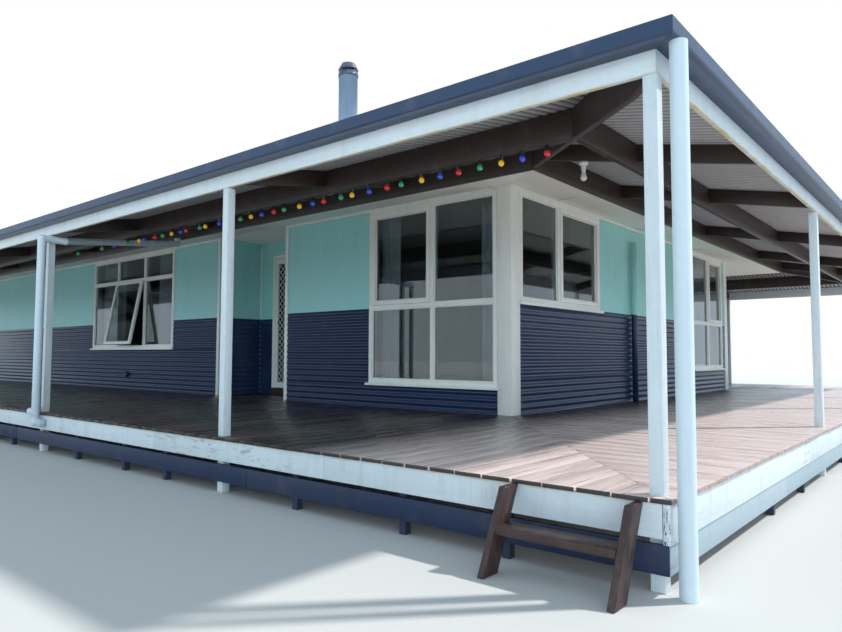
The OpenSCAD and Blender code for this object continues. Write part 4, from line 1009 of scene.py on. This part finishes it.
def lattice(joinery):
    """Two layers of flat bars that cross in diamonds."""
    x0, x1, z0, z1 = LATTICE
    pitch = joinery.lattice_pitch
    bars = bmesh.new()
    for k in range(int((z1 - z0 + x1 - x0) / pitch) + 2):
        for hand in (-1, 1):
            ends = lattice_ends(z0 + k * pitch if hand < 0 else z1 - k * pitch, hand)
            if ends:
                (xa, za), (xb, zb) = ends
                front = LATTICE_Y - LATTICE_STEP * (hand > 0)
                lean = Matrix.Rotation(-math.atan2(zb - za, xb - xa), 4, "Y")
                size = (math.hypot(xb - xa, zb - za), LATTICE_T, joinery.lattice_bar, 1.0)
                place = Matrix.Translation(((xa + xb) / 2, front, (za + zb) / 2)) @ lean
                bmesh.ops.create_cube(bars, size=1.0, matrix=place @ Matrix.Diagonal(size))
    return soften(bars, BAR_EDGE, 1)


def build_door(context):
    paints, joinery = context.scene.house_paints, context.scene.house_joinery
    cream = painted_timber("door_frame_paint", paints.cream, "#8a8070", 0.4, 0.15, axis="Z", amount=0.2)
    softened("door_frame_cream", "door_frame", cream, FINE_EDGE)
    stain = painted_timber("threshold_stain", paints.brown, "#6d5a4c", 0.45, chips=0.5)
    softened("threshold_brown", "threshold", stain, SILL_EDGE)
    metal = painted("door_metal_white", "#dfe4e2", 0.32, 0.03, "#77776f", 0.2, 0.0, bump=0.05)
    wire = fly_wire("fly_wire")
    leaf = cad_copy("screen_door")
    x0, x1 = LATTICE[:2]
    for hand in (-1, 1):
        cut_at(leaf, (0, 0, RAIL_Z + hand * RAIL_HALF), (0, 0, 1))
    for x in (x0, x1):
        cut_at(leaf, (x, 0, 0), (1, 0, 0))
    for face in leaf.faces:
        spot = face.calc_center_median()
        if face.normal.y < -0.9 and abs(spot.z - RAIL_Z) < RAIL_HALF + 0.001 and x0 < spot.x < x1:
            face.material_index = 1
    piece("screen_door_white", soften(leaf, LEAF_EDGE, 1), (metal, wire), body="screen_door",
          replaces=("screen_door",))
    repaint(wire, "door_mesh")
    piece("screen_door_lattice", lattice(joinery), metal, body="screen_door")


# Lights

# Party globes along the front purlin: place along the front and colour
GLOBES = {
    "red": (3.081, 3.928, 4.632, 6.254, 6.998, 7.804, 8.569, 9.354),
    "green": (1.806, 2.531, 3.245, 4.112, 4.917, 5.693, 6.417, 7.233, 7.967, 8.773),
    "blue": (2.888, 3.663, 4.520, 5.305, 6.060, 6.845, 7.590, 8.385, 9.150),
    "yellow": (3.540, 4.316, 5.030, 5.876, 6.651, 7.376, 8.192, 8.967)}
GLOBE_PAINT = {"red": "#c01c22", "green": "#1f8f5e", "blue": "#2545b8", "yellow": "#e3b21c"}
# Line under the purlin from which all heights are taken, and the cable's two ends along the front
CABLE_Y, CABLE_Z, CABLE_ENDS = -5.976, 2.5855, (0.99, 9.37)
# Below that line: the cable, its further sag between globes, a socket's top and bottom, a globe's middle
CABLE_LOW, CABLE_SAG, SOCKET_TOP, SOCKET_LOW, GLOBE_LOW = 0.010, 0.012, 0.005, 0.043, 0.064
# Radii of a socket at its top and bottom, and height of a globe by its width
SOCKET_R, GLOBE_TALL = (0.0125, 0.0145), 1.08


def build_lights(context):
    sizes = context.scene.house_lights
    spots = sorted(x for row in GLOBES.values() for x in row)
    cable = bmesh.new()
    route = []
    for a, b in zip([CABLE_ENDS[0]] + spots, spots + [CABLE_ENDS[1]]):
        for t, sag in ((0.0, 0.0), (0.5, CABLE_SAG)):
            route.append((a + (b - a) * t, CABLE_Y, CABLE_Z - CABLE_LOW - sag))
    tube_along(cable, route, sizes.cable_d / 2, 8)
    for x in spots:
        start, end = (Vector((x, CABLE_Y, CABLE_Z - low)) for low in (SOCKET_TOP, SOCKET_LOW))
        turn = (end - start).to_track_quat("Z", "Y").to_matrix().to_4x4()
        bmesh.ops.create_cone(cable, cap_ends=True, cap_tris=False, segments=14, radius1=SOCKET_R[0],
                              radius2=SOCKET_R[1], depth=(end - start).length,
                              matrix=Matrix.Translation((start + end) / 2) @ turn)
    # The pale grime on the black cable and sockets is painted glints.
    rubber_and_glints = painted("socket_rubber_painted_glints", "#1d1e1f", 0.35, 0.1, "#d8d8cf", 0.9, bump=0.2)
    piece("festoon_cable", cable, rubber_and_glints, replaces=("festoon_lights",))
    for name, row in GLOBES.items():
        bm = bmesh.new()
        for x in row:
            tall = Matrix.Diagonal((1, 1, GLOBE_TALL, 1))
            bmesh.ops.create_uvsphere(bm, u_segments=14, v_segments=10, radius=sizes.globe_d / 2,
                                      matrix=Matrix.Translation((x, CABLE_Y, CABLE_Z - GLOBE_LOW)) @ tall)
        piece("globes_" + name, bm, coloured_globe("globe_" + name, GLOBE_PAINT[name]),
              replaces=("festoon_lights",), smooth=80)
    holder = painted("lamp_holder_white", "#e6e6de", 0.3, 0.03, "#77776f", 0.1, bump=0.05)
    recoated("verandah_lamp", "verandah_light", holder, smooth=45)


# Camera, light and floor

CAMERA_SPOT = (11.687, -10.159, 1.084)
# Turn from the front, pitch and roll, in degrees
CAMERA_TURN = (39.894, 3.366, 0.184)
CAMERA_LENS, CAMERA_SENSOR = 28.766, 36.0
# Each lamp: where it stands, its angle in degrees and its tint. The wide low one stands in for what bright
# ground in front of the house throws back.
SUN = ((0.453, 0.492, 0.743), 2.5, (1.0, 0.97, 0.92))
FILL = ((0.66, -0.75, 0.02), 45.0, (0.74, 0.92, 1.0))
# Sky: brightness at the horizon and high up, the heights between which it changes, and its tints for soft
# light and for reflections
SKY_LIGHT, SKY_BAND = (1.7, 0.75), (0.05, 0.6)
SKY_TINT, GLOSS_TINT = (0.70, 0.87, 1.0), (0.72, 0.87, 1.0)
# Floor: half its width, its height, two tones near the house, where it turns paler and its tone there
FLOOR_HALF, FLOOR_Z, FLOOR_NEAR = 90.0, -0.001, ((0.66, 0.66, 0.65), (0.69, 0.69, 0.68))
FLOOR_FADE, FLOOR_FAR = (16.0, 42.0), (0.80, 0.79, 0.78)


def pale_world(sky):
    """A pale sky, brighter towards the horizon, that the camera and glass see as plain white."""
    world = bpy.data.worlds.new("pale_sky")
    world.use_nodes = True
    n = Nodes(world.node_tree)
    ray = n.add("LightPath").outputs
    seen = n.maths("MAXIMUM", ray["Is Camera Ray"], ray["Is Transmission Ray"])
    plain = n.maths("MAXIMUM", seen, ray["Is Glossy Ray"])
    up = n.maths("ABSOLUTE", n.split(n.add("TexCoord").outputs["Generated"])["Z"])
    soft = n.times(n.ranged(up, *SKY_BAND, *SKY_LIGHT), sky)
    tint = n.mixed(ray["Is Glossy Ray"], SKY_TINT, GLOSS_TINT)
    n.fill(n.tree.nodes["Background"], {"Color": n.mixed(seen, tint, (1.0, 1.0, 1.0)),
                                        "Strength": n.ranged(plain, 0.0, 1.0, soft, 1.0)})
    bpy.context.scene.world = world


def sun_lamp(name, kind, energy):
    """A lamp at an endless distance."""
    spot, angle, tint = kind
    lamp = bpy.data.lights.new(name, "SUN")
    lamp.energy, lamp.angle, lamp.color = energy, math.radians(angle), tint
    made = placed(name, lamp)
    made.matrix_world = Vector(spot).to_track_quat("Z", "Y").to_matrix().to_4x4()
    return made


def build_stage(context):
    scene, lights = context.scene, context.scene.house_lights
    turn, up, roll = (math.radians(a) for a in CAMERA_TURN)
    ahead = Vector((-math.sin(turn) * math.cos(up), math.cos(turn) * math.cos(up), math.sin(up)))
    across = Vector((math.cos(turn), math.sin(turn), 0.0))
    over = across.cross(ahead)
    x_axis = across * math.cos(roll) + over * math.sin(roll)
    y_axis = over * math.cos(roll) - across * math.sin(roll)
    lens = bpy.data.cameras.new("photo_view")
    lens.lens, lens.sensor_width = CAMERA_LENS, CAMERA_SENSOR
    axes = Matrix((x_axis, y_axis, -ahead)).transposed().to_4x4()
    scene.camera = placed("photo_view", lens)
    scene.camera.matrix_world = Matrix.Translation(CAMERA_SPOT) @ axes

    sun_lamp("soft_sun", SUN, lights.sun)
    fill = sun_lamp("wide_fill", FILL, lights.fill)
    fill.visible_glossy = fill.visible_transmission = False
    pale_world(lights.sky)

    bm = bmesh.new()
    bmesh.ops.create_grid(bm, x_segments=2, y_segments=2, size=FLOOR_HALF,
                          matrix=Matrix.Translation((0, 0, FLOOR_Z)))
    mesh = baked(bm, "floor")
    f = Finish("pale_floor", 0.8)
    near = f.mixed(f.noise(f.place, 0.35, 2.0), *FLOOR_NEAR)
    away = f.add("VectorMath", {0: f.place}, operation="LENGTH").outputs["Value"]
    mesh.materials.append(f.done(f.mixed(f.ranged(away, *FLOOR_FADE), near, FLOOR_FAR)))
    floor = placed("floor", mesh)
    scene.view_settings.view_transform = "Standard"


# Operators, one for each group of pieces

class HOUSE_OT_stage(Operator):
    """Make the camera, the light and the pale floor"""
    bl_idname, bl_label = "house.stage", "Stage"

    def execute(self, context):
        build_stage(context)
        return {"FINISHED"}


class HOUSE_OT_deck(Operator):
    """Lay the deck boards"""
    bl_idname, bl_label = "house.deck", "Deck boards"

    def execute(self, context):
        build_deck(context)
        return {"FINISHED"}


class HOUSE_OT_edges(Operator):
    """Fit the rim boards, skirt boards, stumps and steps"""
    bl_idname, bl_label = "house.edges", "Rims and steps"

    def execute(self, context):
        build_edges(context)
        return {"FINISHED"}


class HOUSE_OT_timber(Operator):
    """Fit the posts, beams, fascia, purlins and rafters"""
    bl_idname, bl_label = "house.timber", "Verandah timber"

    def execute(self, context):
        build_timber(context)
        return {"FINISHED"}


class HOUSE_OT_roof(Operator):
    """Lay the corrugated roof, its screws and caps"""
    bl_idname, bl_label = "house.roof", "Roof iron"

    def execute(self, context):
        build_roof(context)
        return {"FINISHED"}


class HOUSE_OT_rainwater(Operator):
    """Fit the gutters, downpipes, flue and wall fittings"""
    bl_idname, bl_label = "house.rainwater", "Gutters and pipes"

    def execute(self, context):
        build_rainwater(context)
        return {"FINISHED"}


class HOUSE_OT_walls(Operator):
    """Paint the walls, the dado, the trims and the linings"""
    bl_idname, bl_label = "house.walls", "Walls"

    def execute(self, context):
        build_walls(context)
        return {"FINISHED"}


class HOUSE_OT_windows(Operator):
    """Fit the windows, their sashes, glass, curtains and blinds"""
    bl_idname, bl_label = "house.windows", "Windows"

    def execute(self, context):
        build_windows(context)
        return {"FINISHED"}


class HOUSE_OT_door(Operator):
    """Fit the door frame, the threshold and the screen door"""
    bl_idname, bl_label = "house.door", "Door"

    def execute(self, context):
        build_door(context)
        return {"FINISHED"}


class HOUSE_OT_lights(Operator):
    """Hang the party globes and the verandah lamp"""
    bl_idname, bl_label = "house.lights", "Lights"

    def execute(self, context):
        build_lights(context)
        return {"FINISHED"}


OPERATORS = (HOUSE_OT_stage, HOUSE_OT_deck, HOUSE_OT_edges, HOUSE_OT_timber, HOUSE_OT_roof,
             HOUSE_OT_rainwater, HOUSE_OT_walls, HOUSE_OT_windows, HOUSE_OT_door, HOUSE_OT_lights)


class HOUSE_PT_pieces(Panel):
    """Lists the pieces of the house and their sizes"""
    bl_label = "Beach house"
    bl_space_type = "VIEW_3D"
    bl_region_type = "UI"
    bl_category = "Beach house"

    def draw(self, context):
        for kind in OPERATORS:
            self.layout.operator(kind.bl_idname, text=kind.bl_label)
        for name, kind in ALL_GROUPS.items():
            box = self.layout.box()
            for prop in kind.__annotations__:
                box.prop(getattr(context.scene, name), prop)


def register():
    for kind in (*ALL_GROUPS.values(), *OPERATORS, HOUSE_PT_pieces):
        bpy.utils.register_class(kind)
    for name, kind in ALL_GROUPS.items():
        setattr(bpy.types.Scene, name, PointerProperty(type=kind))


def unregister():
    for name in ALL_GROUPS:
        delattr(bpy.types.Scene, name)
    for kind in reversed((*ALL_GROUPS.values(), *OPERATORS, HOUSE_PT_pieces)):
        bpy.utils.unregister_class(kind)


def main():
    register()
    for kind in OPERATORS:
        getattr(bpy.ops.house, kind.bl_idname.split(".")[1])()


if __name__ == "__main__":
    main()
